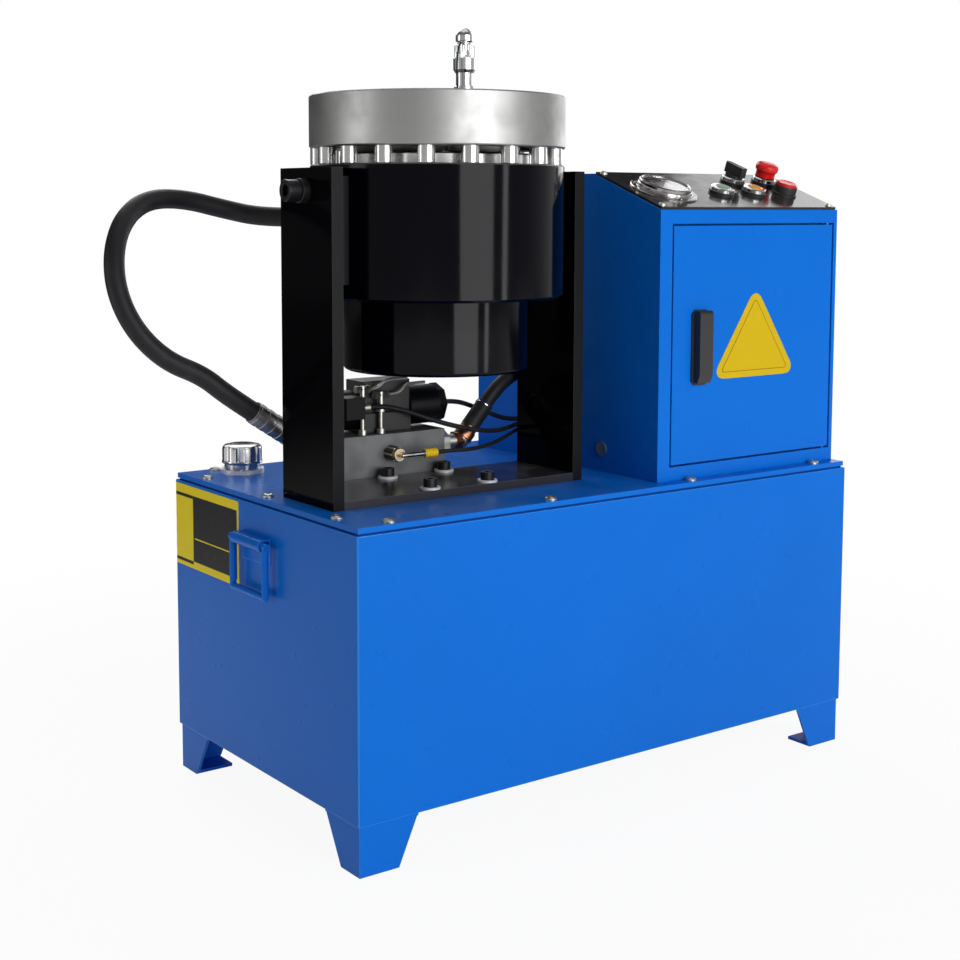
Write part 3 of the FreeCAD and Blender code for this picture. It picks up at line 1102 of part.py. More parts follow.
def make_panel():
    plate = new_body()
    flat = sketch(plate)
    rect(flat, "cabinet_x + panel_margin", "panel_margin", "cabinet_x + cabinet_wide - panel_margin",
         "panel_long - panel_margin")
    pad(plate, flat, "panel_thick")
    pocket(plate, circles(sketch(plate), PANEL_SCREWS, "panel_screw_rad + run_gap"), up=True)
    pocket(plate, circles(sketch(plate), [("gauge_x", "gauge_s")], "gauge_bore + run_gap"), up=True)
    pocket(plate, circles(sketch(plate), [(x, s) for x, s, rise, bore in BUTTONS],
                          "button_hole + run_gap"), up=True)
    node("control_panel", on_panel(plate))

    collars = [on_plate(x, s, [
        ("0", "-button_body"), ("button_hole", "-button_body"), ("button_hole", "0"), ("bezel_rad", "0"),
        ("bezel_rad", rise + " - 1.5"), ("bezel_rad - 1.5", rise), (bore, rise), (bore, "-" + BUTTON_WELL),
        ("0", "-" + BUTTON_WELL)]) for x, s, rise, bore in BUTTONS]
    return node("button_collars", group(*collars))


def on_plate(x, s, points):
    """A turned piece standing on the control plate, heights measured from the plate's face."""
    body = new_body()
    revolve(body, points)
    y = "cabinet_front + (%s) * cos(panel_slope) - panel_thick * sin(panel_slope)" % s
    z = "%s + (%s) * sin(panel_slope) + panel_thick * cos(panel_slope)" % (PANEL_Z, s)
    return put(body, x, y, z, ((1, 0, 0), "panel_slope"))


def make_gauge():
    x, s = "gauge_x", "gauge_s"
    seat, lip = "(gauge_rise - 2)", "(dial_rad - 1.5)"
    case = on_plate(x, s, [
        ("0", "-gauge_body"), ("gauge_bore", "-gauge_body"), ("gauge_bore", "0"), ("gauge_flange", "0"),
        ("gauge_flange", "2"), ("gauge_rad", "2"), ("gauge_rad", seat), ("gauge_rad - 2", "gauge_rise"),
        (lip, "gauge_rise"), (lip, seat), ("dial_rad + run_gap", seat), ("dial_rad + run_gap", "dial_high"),
        ("arbor_rad", "dial_high"), ("arbor_rad", seat + " - glass_thick - slide_gap"),
        ("0", seat + " - glass_thick - slide_gap")])
    node("gauge_case", case)
    node("gauge_glass", on_plate(x, s, [("0", seat + " - glass_thick"),
                                        ("dial_rad", seat + " - glass_thick"),
                                        ("dial_rad", seat), ("0", seat)]))
    pointer = on_plate(x, s, [("arbor_rad + run_gap", "dial_high + slide_gap"),
                              ("4", "dial_high + slide_gap"),
                              ("4", "dial_high + slide_gap + 2.4"),
                              ("arbor_rad + run_gap", "dial_high + slide_gap + 2.4")])
    hand = sketch(pointer, offset="dial_high + slide_gap + 1")
    turn = "225"
    tip = ("pointer_long * cos(%s)" % turn, "pointer_long * sin(%s)" % turn)
    tail = ("-8 * cos(%s)" % turn, "-8 * sin(%s)" % turn)
    side = ("1.6 * sin(%s)" % turn, "-1.6 * cos(%s)" % turn)
    outline(hand, [tip, ("%s + %s" % (tail[0], side[0]), "%s + %s" % (tail[1], side[1])),
                   ("%s - %s" % (tail[0], side[0]), "%s - %s" % (tail[1], side[1]))])
    pad(pointer, hand, "pointer_thick")
    hole = circles(sketch(pointer), [("0", "0")], "arbor_rad + run_gap")
    pocket(pointer, hole, up=True)
    return node("gauge_pointer", pointer)


def make_buttons():
    """The pieces that are pressed or turned, each with its stem in its collar."""
    for name, (x, s, rise, bore) in zip(("button_green", "button_orange"), BUTTONS):
        node(name, push_piece(x, s, rise + " + 1.5"))
    x, s, rise, bore = BUTTONS[2]
    node("button_red", push_piece(x, s, rise + " - 3"))

    x, s, rise, bore = BUTTONS[3]
    base = rise + " + slide_gap"
    knob = on_plate(x, s, [("0", "-" + BUTTON_STEM), (BUTTON_SHAFT, "-" + BUTTON_STEM), (BUTTON_SHAFT, base),
                           ("bezel_rad - 3", base), ("bezel_rad - 3", base + " + 3"), ("0", base + " + 3")])
    grip = sketch(knob, offset=base + " + 2.5")
    outline(grip, [("-knob_wide / 2", "-knob_long * 0.45"), ("knob_wide / 2", "-knob_long * 0.45"),
                   ("knob_wide / 2", "knob_long * 0.45"), ("0", "knob_long * 0.55"),
                   ("-knob_wide / 2", "knob_long * 0.45")])
    pad(knob, grip, "knob_tall")
    node("selector_handle", knob)

    x, s, rise, bore = BUTTONS[4]
    base = rise + " + mushroom_gap"
    cap = "(%s + mushroom_tall)" % base
    return node("stop_mushroom", on_plate(x, s, [
        ("0", "-" + BUTTON_STEM), (BUTTON_SHAFT, "-" + BUTTON_STEM), (BUTTON_SHAFT, base),
        ("mushroom_rad - 5", base),
        ("mushroom_rad", base + " + 5"), ("mushroom_rad", base + " + 8"), ("mushroom_rad - 3", cap + " - 1"),
        ("mushroom_rad - 8", cap), ("0", cap)]))


def push_piece(x, s, top):
    return on_plate(x, s, [("0", "-" + BUTTON_STEM), ("button_rad", "-" + BUTTON_STEM),
                           ("button_rad", top + " - 1.5"),
                           ("button_rad - 1.5", top), ("0", top)])


def make_switchgear():
    """The mounting plate behind the door with the starter, relay, transformer and terminals."""
    gap = "(cabinet_wall + slide_gap)"
    face = "(cabinet_front + plate_back)"
    left = "cabinet_x + " + gap
    plate = box(left, face, LID_TOP + " + cabinet_wall", "cabinet_wide - 2 * " + gap, "plate_sheet",
                "plate_tall_in")
    rail_y = face + " - rail_deep"
    rail_z = LID_TOP + " + rail_high"
    rail = fuse(box("door_x + 10", rail_y, rail_z, "rail_long", "rail_deep", "rail_tall * 0.7"),
                box("door_x + 10", rail_y, rail_z + " - rail_tall * 0.15", "rail_long", "1.5", "rail_tall"))
    pieces = [plate, rail]
    x = "door_x + 18"
    for wide, tall, deep in (("contactor_wide", "contactor_tall", "contactor_deep"),
                             ("relay_wide", "relay_tall", "relay_deep")):
        pieces.append(fuse(
            box(x, rail_y + " - " + deep, rail_z + " + rail_tall * 0.35 - %s / 2" % tall, wide, deep, tall),
            box(x + " + 4", rail_y + " - %s - contactor_nose" % deep,
                rail_z + " + rail_tall * 0.35 - %s / 4" % tall,
                wide + " - 8", "contactor_nose + 1", tall + " / 2")))
        x = "%s + %s + 6" % (x, wide)
    for k in range(int(value("terminal_count"))):
        pieces.append(box("%s + %d * terminal_wide" % (x, k), rail_y + " - terminal_deep",
                          rail_z + " + rail_tall * 0.35 - terminal_tall / 2", "terminal_wide - 0.4",
                          "terminal_deep",
                          "terminal_tall"))
    core = box("door_x + 30", face + " - core_deep", LID_TOP + " + core_high", "core_wide", "core_deep",
               "core_tall")
    coil = box("door_x + 30 + core_wide * 0.2", face + " - core_deep - 10",
               LID_TOP + " + core_high + core_tall * 0.15",
               "core_wide * 0.6", "core_deep + 10 - 1", "core_tall * 0.7")
    pieces.append(fuse(core, coil))
    return node("switchgear", group(*pieces))


def make_motor():
    """The upright motor on the lid and the pump that hangs from it in the oil."""
    flange_top = "motor_flange_thick"
    top = "(motor_flange_thick + motor_tall)"
    bore = "motor_shaft + run_gap"
    wall = "fan_cover_wall"
    stator = new_body()
    revolve(stator, [(bore, "0"), ("motor_flange", "0"), ("motor_flange", flange_top),
                     ("motor_rad", flange_top),
                     ("motor_rad", top), ("motor_rad * 0.75", top), ("motor_rad * 0.7", top + " + 4"),
                     (bore, top + " + 4")])
    fin = sketch(stator, offset=flange_top + " + 14")
    rect(fin, "-fin_thick / 2", "-motor_rad - fin_tall", "fin_thick / 2", "-motor_rad + 2")
    polar(stator, [pad(stator, fin, "motor_tall - 28")], "fin_count")
    put(stator, "motor_x", "motor_y", MOTOR_Z)
    cover = new_body()
    roof = "(%s + fan_cover_tall)" % top
    outer = "(motor_rad + fan_cover_wall)"
    revolve(cover, [("motor_rad", top + " - 10"), (outer, top + " - 10"), (outer, roof + " - 6"),
                    (outer + " - 6", roof), ("0", roof), ("0", "%s - %s" % (roof, wall)),
                    (outer + " - 6 - " + wall, "%s - %s" % (roof, wall)),
                    ("motor_rad", roof + " - 6 - " + wall)])
    vent = sketch(cover, offset=roof + " + 1")
    rect(vent, "-2", "18", "2", "fan_rad - 6")
    polar(cover, [pocket(cover, vent, wall + " + 3")], "fin_count / 2")
    put(cover, "motor_x", "motor_y", MOTOR_Z)
    terminal_box = box("motor_x - 40", "motor_y - motor_rad - 30", MOTOR_Z + " + motor_tall * 0.45",
                       "80", "44", "70")
    node("motor_body", group(fuse(stator, terminal_box), cover))

    inner = "(bell_rad - bell_wall)"
    flange = turn_about("motor_x", "motor_y", [(inner, "0"), ("motor_flange", "0"),
                                               ("motor_flange", "bell_flange"),
                                               (inner, "bell_flange")], LID_TOP)
    bell = turn_about("motor_x", "motor_y", [
        (inner, "0"), (inner, "-bell_tall + 10"), ("pump_shaft + run_gap", "-bell_tall + 10"),
        ("pump_shaft + run_gap", "-bell_tall"), ("bell_rad", "-bell_tall"), ("bell_rad", "0")], LID_TOP)
    low = LID_TOP + " - bell_tall - pump_tall"
    pump = cut(box("motor_x - pump_wide / 2", "motor_y - pump_wide / 2", low, "pump_wide", "pump_wide",
                   "pump_tall"),
               rod("motor_x", "motor_y", LID_TOP + " - bell_tall - 16", "pump_shaft + run_gap", "20"))
    suction = rod("motor_x", "motor_y", low + " - suction_long", "suction_rad", "suction_long")
    strainer = rod("motor_x", "motor_y", low + " - suction_long - strainer_tall", "strainer_rad",
                   "strainer_tall")
    node("pump_body", group(flange, bell, pump, suction, strainer))

    rotor = new_body()
    link_low, link_top = "(-bell_tall + 18)", "(-bell_tall + 18 + coupling_tall)"
    fan_low = "(bell_flange + %s + 8)" % top
    revolve(rotor, [("0", "-bell_tall - 14"), ("pump_shaft", "-bell_tall - 14"), ("pump_shaft", link_low),
                    ("coupling_rad", link_low), ("coupling_rad", link_top), ("motor_shaft", link_top),
                    ("motor_shaft", fan_low), ("fan_hub", fan_low), ("fan_hub", fan_low + " + fan_tall"),
                    ("0", fan_low + " + fan_tall")])
    blade = sketch(rotor, offset=fan_low)
    rect(blade, "-1", "fan_hub - 1", "1", "fan_rad")
    polar(rotor, [pad(rotor, blade, "fan_tall")], "fan_blades")
    put(rotor, "motor_x", "motor_y", LID_TOP)
    return node("motor_fan", rotor)


def make_grommet():
    """The blanking plug in the spare cable hole of the cabinet's side."""
    z = LID_TOP + " + grommet_high"
    return fuse(rod("cabinet_x", "grommet_y", z, "grommet_rad + 2", "2", "-x"),
                rod("cabinet_x", "grommet_y", z, "grommet_rad - run_gap", "cabinet_wall + 2", "x"))


def build():
    make_tank()
    make_feet()
    make_lid()
    make_cover_screws()
    make_drain_plug()
    make_filler()
    make_bail("bail_left", -1)
    make_bail("bail_right", 1)
    make_frame()
    make_base_bolts()
    make_barrel()
    make_posts()
    make_ring()
    make_side_screws()
    make_ram()
    make_bowl()
    make_dies()
    make_micrometer()
    make_valves()
    make_fittings()
    make_lines()
    make_cabinet()
    make_door()
    make_panel()
    make_gauge()
    make_buttons()
    make_switchgear()
    make_motor()
    doc.recompute()


def export():
    os.makedirs("parts", exist_ok=True)
    for thing in doc.Objects:
        if "Invalid" in thing.State or "Error" in thing.State:
            raise RuntimeError("%s (%s) did not build: %s" % (thing.Name, thing.Label, thing.State))
    for name, thing in nodes.items():
        shape = thing.Shape
        if shape.isNull() or not shape.isValid():
            raise RuntimeError("%s has no valid shape" % name)
        shape.exportStep("parts/%s.step" % name)
    print("%d sub-parts" % len(nodes))


build()
export()
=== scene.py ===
# %% [markdown]
# This lesson dresses an upright hydraulic press that shrinks pipe and hose ends. The machine is a blue
# oil tank on four sheet feet, a black press head between two plates, and a blue control cabinet. Its
# construction is loaded first, at real size and in metres, and every later cell adds a finish or a piece.

# %% Load the construction
import json
import math
import bpy
import bmesh
from mathutils import Matrix, Vector

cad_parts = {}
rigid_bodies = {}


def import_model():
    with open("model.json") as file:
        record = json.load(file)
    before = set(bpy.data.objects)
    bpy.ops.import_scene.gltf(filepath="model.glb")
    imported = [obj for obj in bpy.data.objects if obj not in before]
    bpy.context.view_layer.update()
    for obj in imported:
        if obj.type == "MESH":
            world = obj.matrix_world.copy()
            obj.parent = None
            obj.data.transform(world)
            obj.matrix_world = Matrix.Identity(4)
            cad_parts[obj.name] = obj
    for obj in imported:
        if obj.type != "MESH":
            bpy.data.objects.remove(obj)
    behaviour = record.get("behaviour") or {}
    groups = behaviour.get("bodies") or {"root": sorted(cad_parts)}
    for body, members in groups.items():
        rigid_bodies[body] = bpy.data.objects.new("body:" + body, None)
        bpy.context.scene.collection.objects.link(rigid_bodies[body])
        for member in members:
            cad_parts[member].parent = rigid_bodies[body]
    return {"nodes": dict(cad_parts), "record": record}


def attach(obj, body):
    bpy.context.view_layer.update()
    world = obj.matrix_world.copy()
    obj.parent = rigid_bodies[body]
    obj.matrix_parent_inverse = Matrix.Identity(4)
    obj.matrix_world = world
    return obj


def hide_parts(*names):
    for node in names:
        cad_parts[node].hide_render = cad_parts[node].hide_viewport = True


bpy.ops.object.select_all(action="SELECT")
bpy.ops.object.delete()
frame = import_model()
bpy.ops.object.select_all(action="DESELECT")
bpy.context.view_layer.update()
nodes = frame["nodes"]

# %% [markdown]
# The camera stands where the photographer stood: at chest height, a little left of the machine, looking
# slightly down. A long lens keeps the upright edges almost parallel. The photograph was cropped below its
# own middle, so a small vertical shift puts the machine back at the same height in the picture.

# %% Set the camera
IMAGE = 960
FOCAL_PIXELS = 1582.3
EYE = Vector((-1.2237, -1.5691, 0.7070))
YAW, PITCH, ROLL = -0.6371, -0.0987, -0.0034
SHIFT_PIXELS = -120


def camera_turn(yaw, pitch, roll):
    level = Matrix.Rotation(math.radians(90), 3, "X")
    lean = Matrix.Rotation(pitch, 3, "X")
    return Matrix.Rotation(yaw, 3, "Z") @ lean @ Matrix.Rotation(roll, 3, "Y") @ level


bpy.ops.object.camera_add(location=EYE)
camera = bpy.context.object
camera.rotation_euler = camera_turn(YAW, PITCH, ROLL).to_euler()
camera.data.sensor_width = 36
camera.data.lens = FOCAL_PIXELS / IMAGE * camera.data.sensor_width
camera.data.shift_y = SHIFT_PIXELS / IMAGE
camera.data.clip_end = 100
bpy.context.scene.camera = camera
bpy.context.scene.view_settings.view_transform = "Standard"
print("lens %.1f mm" % camera.data.lens)

# %% [markdown]
# Shader sums are easier to read as Python. A Wire holds one output of a node, and adding or multiplying
# wires adds the Math nodes. A Finish is one material: its add method makes any other node from its type,
# its settings and the values of its sockets.

# %% Write shader sums as Python


class Wire:
    """One output of a node, which can be used in sums."""

    def __init__(self, finish, socket):
        self.finish = finish
        self.socket = socket

    def sum(self, operation, *others):
        return self.finish.add("Math", {"operation": operation}, dict(enumerate((self,) + others)))

    def __add__(self, other):
        return self.sum("ADD", other)

    __radd__ = __add__

    def __sub__(self, other):
        return self.sum("SUBTRACT", other)

    def __rsub__(self, other):
        return self.finish.add("Math", {"operation": "SUBTRACT"}, {0: other, 1: self})

    def __mul__(self, other):
        return self.sum("MULTIPLY", other)

    __rmul__ = __mul__

    def __truediv__(self, other):
        return self.sum("DIVIDE", other)

    def ramp(self, low, high):
        """0 below low, 1 above high, and smooth between."""
        return self.finish.add("MapRange", {"interpolation_type": "SMOOTHSTEP"},
                               {"Value": self, "From Min": low, "From Max": high})


class Finish:
    """A material, built node by node."""

    def __init__(self, name):
        self.material = bpy.data.materials.new(name)
        self.material.use_nodes = True
        self.tree = self.material.node_tree
        self.shader = self.tree.nodes["Principled BSDF"]

    def feed(self, socket, value):
        if isinstance(value, Wire):
            self.tree.links.new(value.socket, socket)
        elif socket.type == "RGBA" and len(value) == 3:
            socket.default_value = (*value, 1)
        else:
            socket.default_value = value

    def add(self, kind, settings=None, values=None, out=0):
        node = self.tree.nodes.new("ShaderNode" + kind)
        for name, value in (settings or {}).items():
            setattr(node, name, value)
        for name, value in (values or {}).items():
            self.feed(node.inputs[name], value)
        return Wire(self, node.outputs[out])

    def set(self, **values):
        """Feeds sockets of the shader, with _ for a space in a name."""
        for name, value in values.items():
            self.feed(self.shader.inputs[name.replace("_", " ")], value)
        return self

    def place(self, scale=(1, 1, 1), centre=(0, 0, 0)):
        """Object coordinates in metres, measured from a centre."""
        where = self.add("TexCoord", out=3)
        moved = self.add("VectorMath", {"operation": "SUBTRACT"}, {0: where, 1: centre})
        return self.add("VectorMath", {"operation": "MULTIPLY"}, {0: moved, 1: scale})

    def axes(self, where):
        """The x, y and z of a vector."""
        parts = self.add("SeparateXYZ", {}, {0: where}).socket.node
        return [Wire(self, part) for part in parts.outputs]

    def dot(self, where, way):
        return self.add("VectorMath", {"operation": "DOT_PRODUCT"}, {0: where, 1: way}, out=1)

    def length(self, where):
        return self.add("VectorMath", {"operation": "LENGTH"}, {0: where}, out=1)

    def noise(self, where, scale, detail=2.0):
        return self.add("TexNoise", {}, {"Vector": where, "Scale": scale, "Detail": detail})

    def mix(self, factor, first, second):
        return self.add("Mix", {"data_type": "RGBA"}, {0: factor, 6: first, 7: second}, out=2)

    def bump(self, height, depth, strength=0.5):
        """A Bump node; depth is in metres."""
        return self.add("Bump", {}, {"Height": height, "Distance": depth, "Strength": strength})

    def round_axis(self, x, y):
        """Distance from an upright axis and height, in which a lathe's marks are straight bands."""
        out = self.length(self.place((1, 1, 0), (x, y, 0)))
        return self.add("CombineXYZ", {}, {0: out, 2: self.axes(self.place())[2]})


# %% [markdown]
# The tank, the lid and the cabinet are sprayed with one blue enamel and baked. Enamel flows as it cures,
# so it has a faint orange-peel ripple, a glossy skin, and thin dust on what faces up. The colour is one
# value, and only its strength drifts a little, as sprayed paint does.

# %% Blue enamel
BLUE = (0.003, 0.150, 0.64)


def enamel(name, colour, ripple=0.00003, gloss=0.24, dust=0.10, shine=0.09):
    paint = Finish(name)
    where = paint.place()
    drift = paint.noise(where, 3.0, 3.0)
    peel = paint.noise(where, 420.0, 1.0)
    haze = paint.noise(where, 26.0, 4.0)
    up = paint.axes(paint.add("NewGeometry", out=1))[2]
    shaded = paint.mix(drift.ramp(0.35, 0.7) * 0.35, colour, [0.82 * c for c in colour])
    dusty = paint.mix(up.ramp(0.6, 1.0) * haze.ramp(0.45, 0.75) * dust, shaded, (0.35, 0.37, 0.40))
    paint.set(Base_Color=dusty, Roughness=gloss + 0.10 * haze, Specular_IOR_Level=shine,
              Normal=paint.bump(peel, ripple))
    return paint.material


blue_enamel = enamel("blue_enamel", BLUE)
# The rounded edges of folded sheet take a lighter blue with a higher gloss: the lighter colour is a painted
# highlight along each fold.
edge_highlight_enamel = enamel("edge_highlight_enamel", (0.012, 0.21, 0.75), ripple=0.0, gloss=0.16, dust=0.0, shine=0.3)
# The lid's gasket takes a dark blue: a painted shadow line along the seam under the lid's edge.
seam_shadow_enamel = enamel("seam_shadow_enamel", (0.002, 0.045, 0.24), gloss=0.4, dust=0.0, shine=0.1)
black_enamel = enamel("black_enamel", (0.001, 0.001, 0.003), gloss=0.05, dust=0.03, shine=0.12)
plate_enamel = enamel("plate_enamel", (0.002, 0.002, 0.003), gloss=0.06, dust=0.02, shine=0.03)
satin_enamel = enamel("satin_enamel", (0.026, 0.024, 0.028), gloss=0.16, dust=0.2, shine=0.4)
# The front faces of the frame plates take a lighter black: a painted highlight on the side that faces the key
# light.
plate_front_highlight_enamel = enamel("plate_front_highlight_enamel", (0.006, 0.006, 0.007), gloss=0.30, dust=0.1, shine=0.12)
worn_enamel = enamel("worn_enamel", (0.06, 0.06, 0.065), gloss=0.3, dust=0.0, shine=0.3)
print("enamels:", blue_enamel.name, black_enamel.name, satin_enamel.name)

# %% [markdown]
# The two thick hoses are rubber over steel wire. The outer cover is cured in a cloth wrap, which leaves a
# faint cross-weave, and handling leaves paler smears. The cables have a smooth plastic sheath.

# %% Hose rubber and cable sheath


def rubber(name, colour, weave, rough):
    skin = Finish(name)
    where = skin.place()
    smear = skin.noise(where, 40.0, 4.0)
    cloth = skin.noise(where, weave, 2.0)
    skin.set(Base_Color=skin.mix(smear.ramp(0.5, 0.8) * 0.5, colour, [3.0 * c for c in colour]),
             Roughness=rough + 0.18 * smear, Specular_IOR_Level=0.2, Normal=skin.bump(cloth, 0.0002, 0.35))
    return skin.material


hose_rubber = rubber("hose_rubber", (0.012, 0.012, 0.014), 900.0, 0.42)
cable_sheath = rubber("cable_sheath", (0.014, 0.014, 0.016), 300.0, 0.3)

# %% [markdown]
# Each hose is a smooth curve through the same points as its solid, with a round section, and it leaves
# each fitting straight before it bends.

# %% Lay the hoses and cables
MM = 0.001
MAIN_HOSE = [(-282.6, 92.3, 690), (-303.2, 121.7, 690), (-337, 146, 699), (-385, 154, 711), (-437, 141, 711),
             (-479, 115, 690), (-504, 90, 653), (-509, 72, 608), (-494, 58, 565), (-463, 45, 531),
             (-425, 33, 514), (-399.1, 25, 490.8), (-366.3, 25, 469.3)]
PUMP_HOSE = [(-45.2, 12, 457.1), (-32.8, 12, 470.8), (-18.3, 12, 482.4), (-2.1, 12, 491.3), (15.4, 12, 497.4),
             (33.6, 12, 500.4), (52, 12, 500.4)]
GAUGE_HOSE = [(-152, -34, 411), (-132, -34, 411), (-98, -30, 409), (-62, -20, 410), (-28, -6, 415),
              (4, 6, 423), (32, 10, 428), (54, 10, 428)]
LEFT_CABLE = [(-227, -1.1, 467), (-207, -1.1, 467), (-178, -4, 460), (-146, -7, 448), (-112, -9, 437),
              (-74, -9, 428), (-36, -2, 423), (0, 14, 425), (30, 26, 428), (54, 26, 428)]
MICROMETER_LEAD = [(-213, -169.1, 878.5), (-217.5, -172.2, 878.5), (-222.8, -175.9, 872.5),
                   (-225.3, -177.7, 864.5), (-226.1, -178.2, 854.5), (-226.1, -178.2, 844.5),
                   (-225.3, -177.7, 836.5), (-224.9, -177.4, 834), (-224.9, -177.4, 824)]
RIGHT_CABLE = [(-96, 31, 461), (-78, 31, 461), (-50, 33, 452), (-20, 37, 440), (6, 41, 431), (30, 42, 428),
               (54, 42, 428)]


def bent_rod(name, points, radius, steps, sides):
    """A round rod along the smooth curve that a few points pull, all in millimetres."""
    curve = bpy.data.curves.new(name, "CURVE")
    curve.dimensions = "3D"
    spline = curve.splines.new("NURBS")
    spline.points.add(len(points) - 1)
    for control, spot in zip(spline.points, points):
        control.co = (*[MM * c for c in spot], 1)
    spline.order_u = 3
    spline.use_endpoint_u = True
    spline.resolution_u = steps
    curve.bevel_depth = radius * MM
    curve.bevel_resolution = sides
    curve.use_fill_caps = True
    rod = bpy.data.objects.new(name, curve)
    bpy.context.scene.collection.objects.link(rod)
    return rod


def lay_cord(name, node, points, diameter, length, stiffness, skin, slot):
    cord = bent_rod(name, points, diameter / 2 / MM, 12, 8)
    cord.data.materials.append(skin)
    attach(cord, "stand")
    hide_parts(node)
    [MM * c for c in points[0]]
    print("%s: %.0f mm long, %.1f mm thick" % (name, length / MM, diameter / MM))


HOSE = ("stiff", hose_rubber, "hose_rubber")
CABLE = ("medium", cable_sheath, "cable_sheath")
lay_cord("main_hose_cover", "main_hose", MAIN_HOSE, 0.023, 0.544, *HOSE)
lay_cord("pump_hose_cover", "pump_hose", PUMP_HOSE, 0.0185, 0.111, *HOSE)
lay_cord("gauge_hose_sheath", "gauge_hose", GAUGE_HOSE, 0.005, 0.214, *CABLE)
lay_cord("left_cable_sheath", "valve_cable_left", LEFT_CABLE, 0.006, 0.293, *CABLE)
lay_cord("right_cable_sheath", "valve_cable_right", RIGHT_CABLE, 0.006, 0.156, *CABLE)
lay_cord("micrometer_lead_sheath", "micrometer_lead", MICROMETER_LEAD, 0.002, 0.063, *CABLE)


# %% [markdown]
# The studio is a pale floor, a pale room and soft lamps. The key light stands in front, so the front of the
# tank is bright and its left end lies in shade, as in the photograph. It is tall, and a narrow strip stands
# beside it, because the black barrel and the steel ring show both as upright bands. What mirrors see of the
# room is darker behind the machine, and most of all behind on the left, which keeps the lid, the panel and
# the edges of the barrel dark. The camera itself sees white all round.

# %% Floor, room and lamps


WHITE = (1, 1, 1)
CAMERA_WAY = (0.573, 0.82, 0)
CAMERA_RIGHT = (0.643, -0.766, 0)


def floor_finish(name, near):
    """A white floor; near is how bright the camera sees it close to the machine, where a shadow shows.

    Mirrors see it white too, but dark behind the machine, so that the edges of the black barrel stay black.
    """
    skin = Finish(name)
    path = skin.tree.nodes.new("ShaderNodeLightPath")
    mirrored = Wire(skin, path.outputs["Is Glossy Ray"])
    looked_at = Wire(skin, path.outputs["Is Camera Ray"]).sum("MAXIMUM", mirrored)
    looked_at = looked_at.sum("MAXIMUM", Wire(skin, path.outputs["Is Transmission Ray"]))
    shade = mirrored * skin.dot(skin.place(), CAMERA_WAY).ramp(0.3, 1.2)
    glow = skin.add("Emission", {}, {"Color": skin.mix(shade, WHITE, (0.06, 0.06, 0.06)), "Strength": 1.0})
    share = looked_at * (near + (1.0 - near) * skin.length(skin.place()).ramp(0.5, 1.6))
    mixed = skin.add("MixShader", {}, {0: share, 1: Wire(skin, skin.shader.outputs[0]), 2: glow})
    skin.tree.links.new(mixed.socket, skin.tree.nodes["Material Output"].inputs["Surface"])
    skin.set(Base_Color=(0.9, 0.9, 0.9), Roughness=0.7)
    return skin.material


bpy.ops.mesh.primitive_plane_add(size=16, location=(0, 0, 0))
floor = bpy.context.object
floor.name = "studio_floor"
floor.data.materials.append(floor_finish("floor_paint", 0.93))

world = bpy.data.worlds.new("room")
bpy.context.scene.world = world
world.use_nodes = True
sky = world.node_tree


def sky_node(kind, settings, *feeds, out=0):
    """One output of a new node of the world; feeds are numbers, vectors or the sockets that lead to it."""
    made = sky.nodes.new("ShaderNode" + kind)
    for name, value in settings.items():
        setattr(made, name, value)
    for place, value in enumerate(feeds):
        if isinstance(value, bpy.types.NodeSocket):
            sky.links.new(value, made.inputs[place])
        else:
            made.inputs[place].default_value = value
    return made.outputs[out]


def sky_sum(operation, *feeds):
    return sky_node("Math", {"operation": operation}, *feeds)


def sky_dot(way):
    return sky_node("VectorMath", {"operation": "DOT_PRODUCT"}, toward, way, out=1)


def sky_ramp(value, low, high, first, last):
    return sky_node("MapRange", {"interpolation_type": "SMOOTHSTEP"}, value, low, high, first, last)


toward = sky_node("TexCoord", {})
above = sky_node("SeparateXYZ", {}, toward, out=2)
side = sky_ramp(sky_dot(CAMERA_RIGHT), 0.03, 0.17, -0.39, 0.5)
graded = sky_sum("MULTIPLY", sky_ramp(sky_dot(CAMERA_WAY), -0.2, 0.9, 0.0, 1.0), side)
mirrored = sky_sum("MULTIPLY", sky_sum("ADD", graded, 0.42), sky_ramp(above, 0.2, 0.8, 1.0, 0.3))
path = sky_node("LightPath", {}).node.outputs
room = sky.nodes["Background"]
room.inputs["Color"].default_value = (*WHITE, 1)
room.inputs["Strength"].default_value = 0.10
seen = sky_node("Background", {}, (*WHITE, 1), sky_sum("MAXIMUM", path["Is Camera Ray"], mirrored))
glossy = sky_sum("MAXIMUM", path["Is Camera Ray"], path["Is Glossy Ray"])
clear = sky_sum("MAXIMUM", glossy, path["Is Transmission Ray"])
choose = sky_node("MixShader", {}, clear, room.outputs[0], seen)
sky.links.new(choose, sky.nodes["World Output"].inputs["Surface"])


def lamp(name, at, aim, wide, tall, power):
    bpy.ops.object.light_add(type="AREA", location=at)
    light = bpy.context.object
    light.name = name
    light.data.shape = "RECTANGLE"
    light.data.size = wide
    light.data.size_y = tall
    light.data.energy = power
    light.rotation_euler = (Vector(aim) - Vector(at)).to_track_quat("-Z", "Y").to_euler()


MIDDLE = (0, 0, 0.45)
KEY_X, STRIP_X = -0.20, 1.40
lamp("key_light", (KEY_X, -3.1, 1.2), (KEY_X, 0, 0.45), 1.7, 2.4, 66)
lamp("strip_light", (STRIP_X, -3.1, 1.2), (STRIP_X, 0, 0.45), 0.34, 2.4, 17)
lamp("top_light", (0.0, 0.2, 2.7), MIDDLE, 2.0, 2.0, 10)
lamp("left_light", (-2.66, 0.7, 0.9), MIDDLE, 0.7, 1.8, 10.5)
lamp("right_light", (2.5, 0.9, 1.1), MIDDLE, 1.4, 2.0, 18)
lamp("back_light", (0.7, 2.5, 2.5), MIDDLE, 1.8, 1.8, 40)

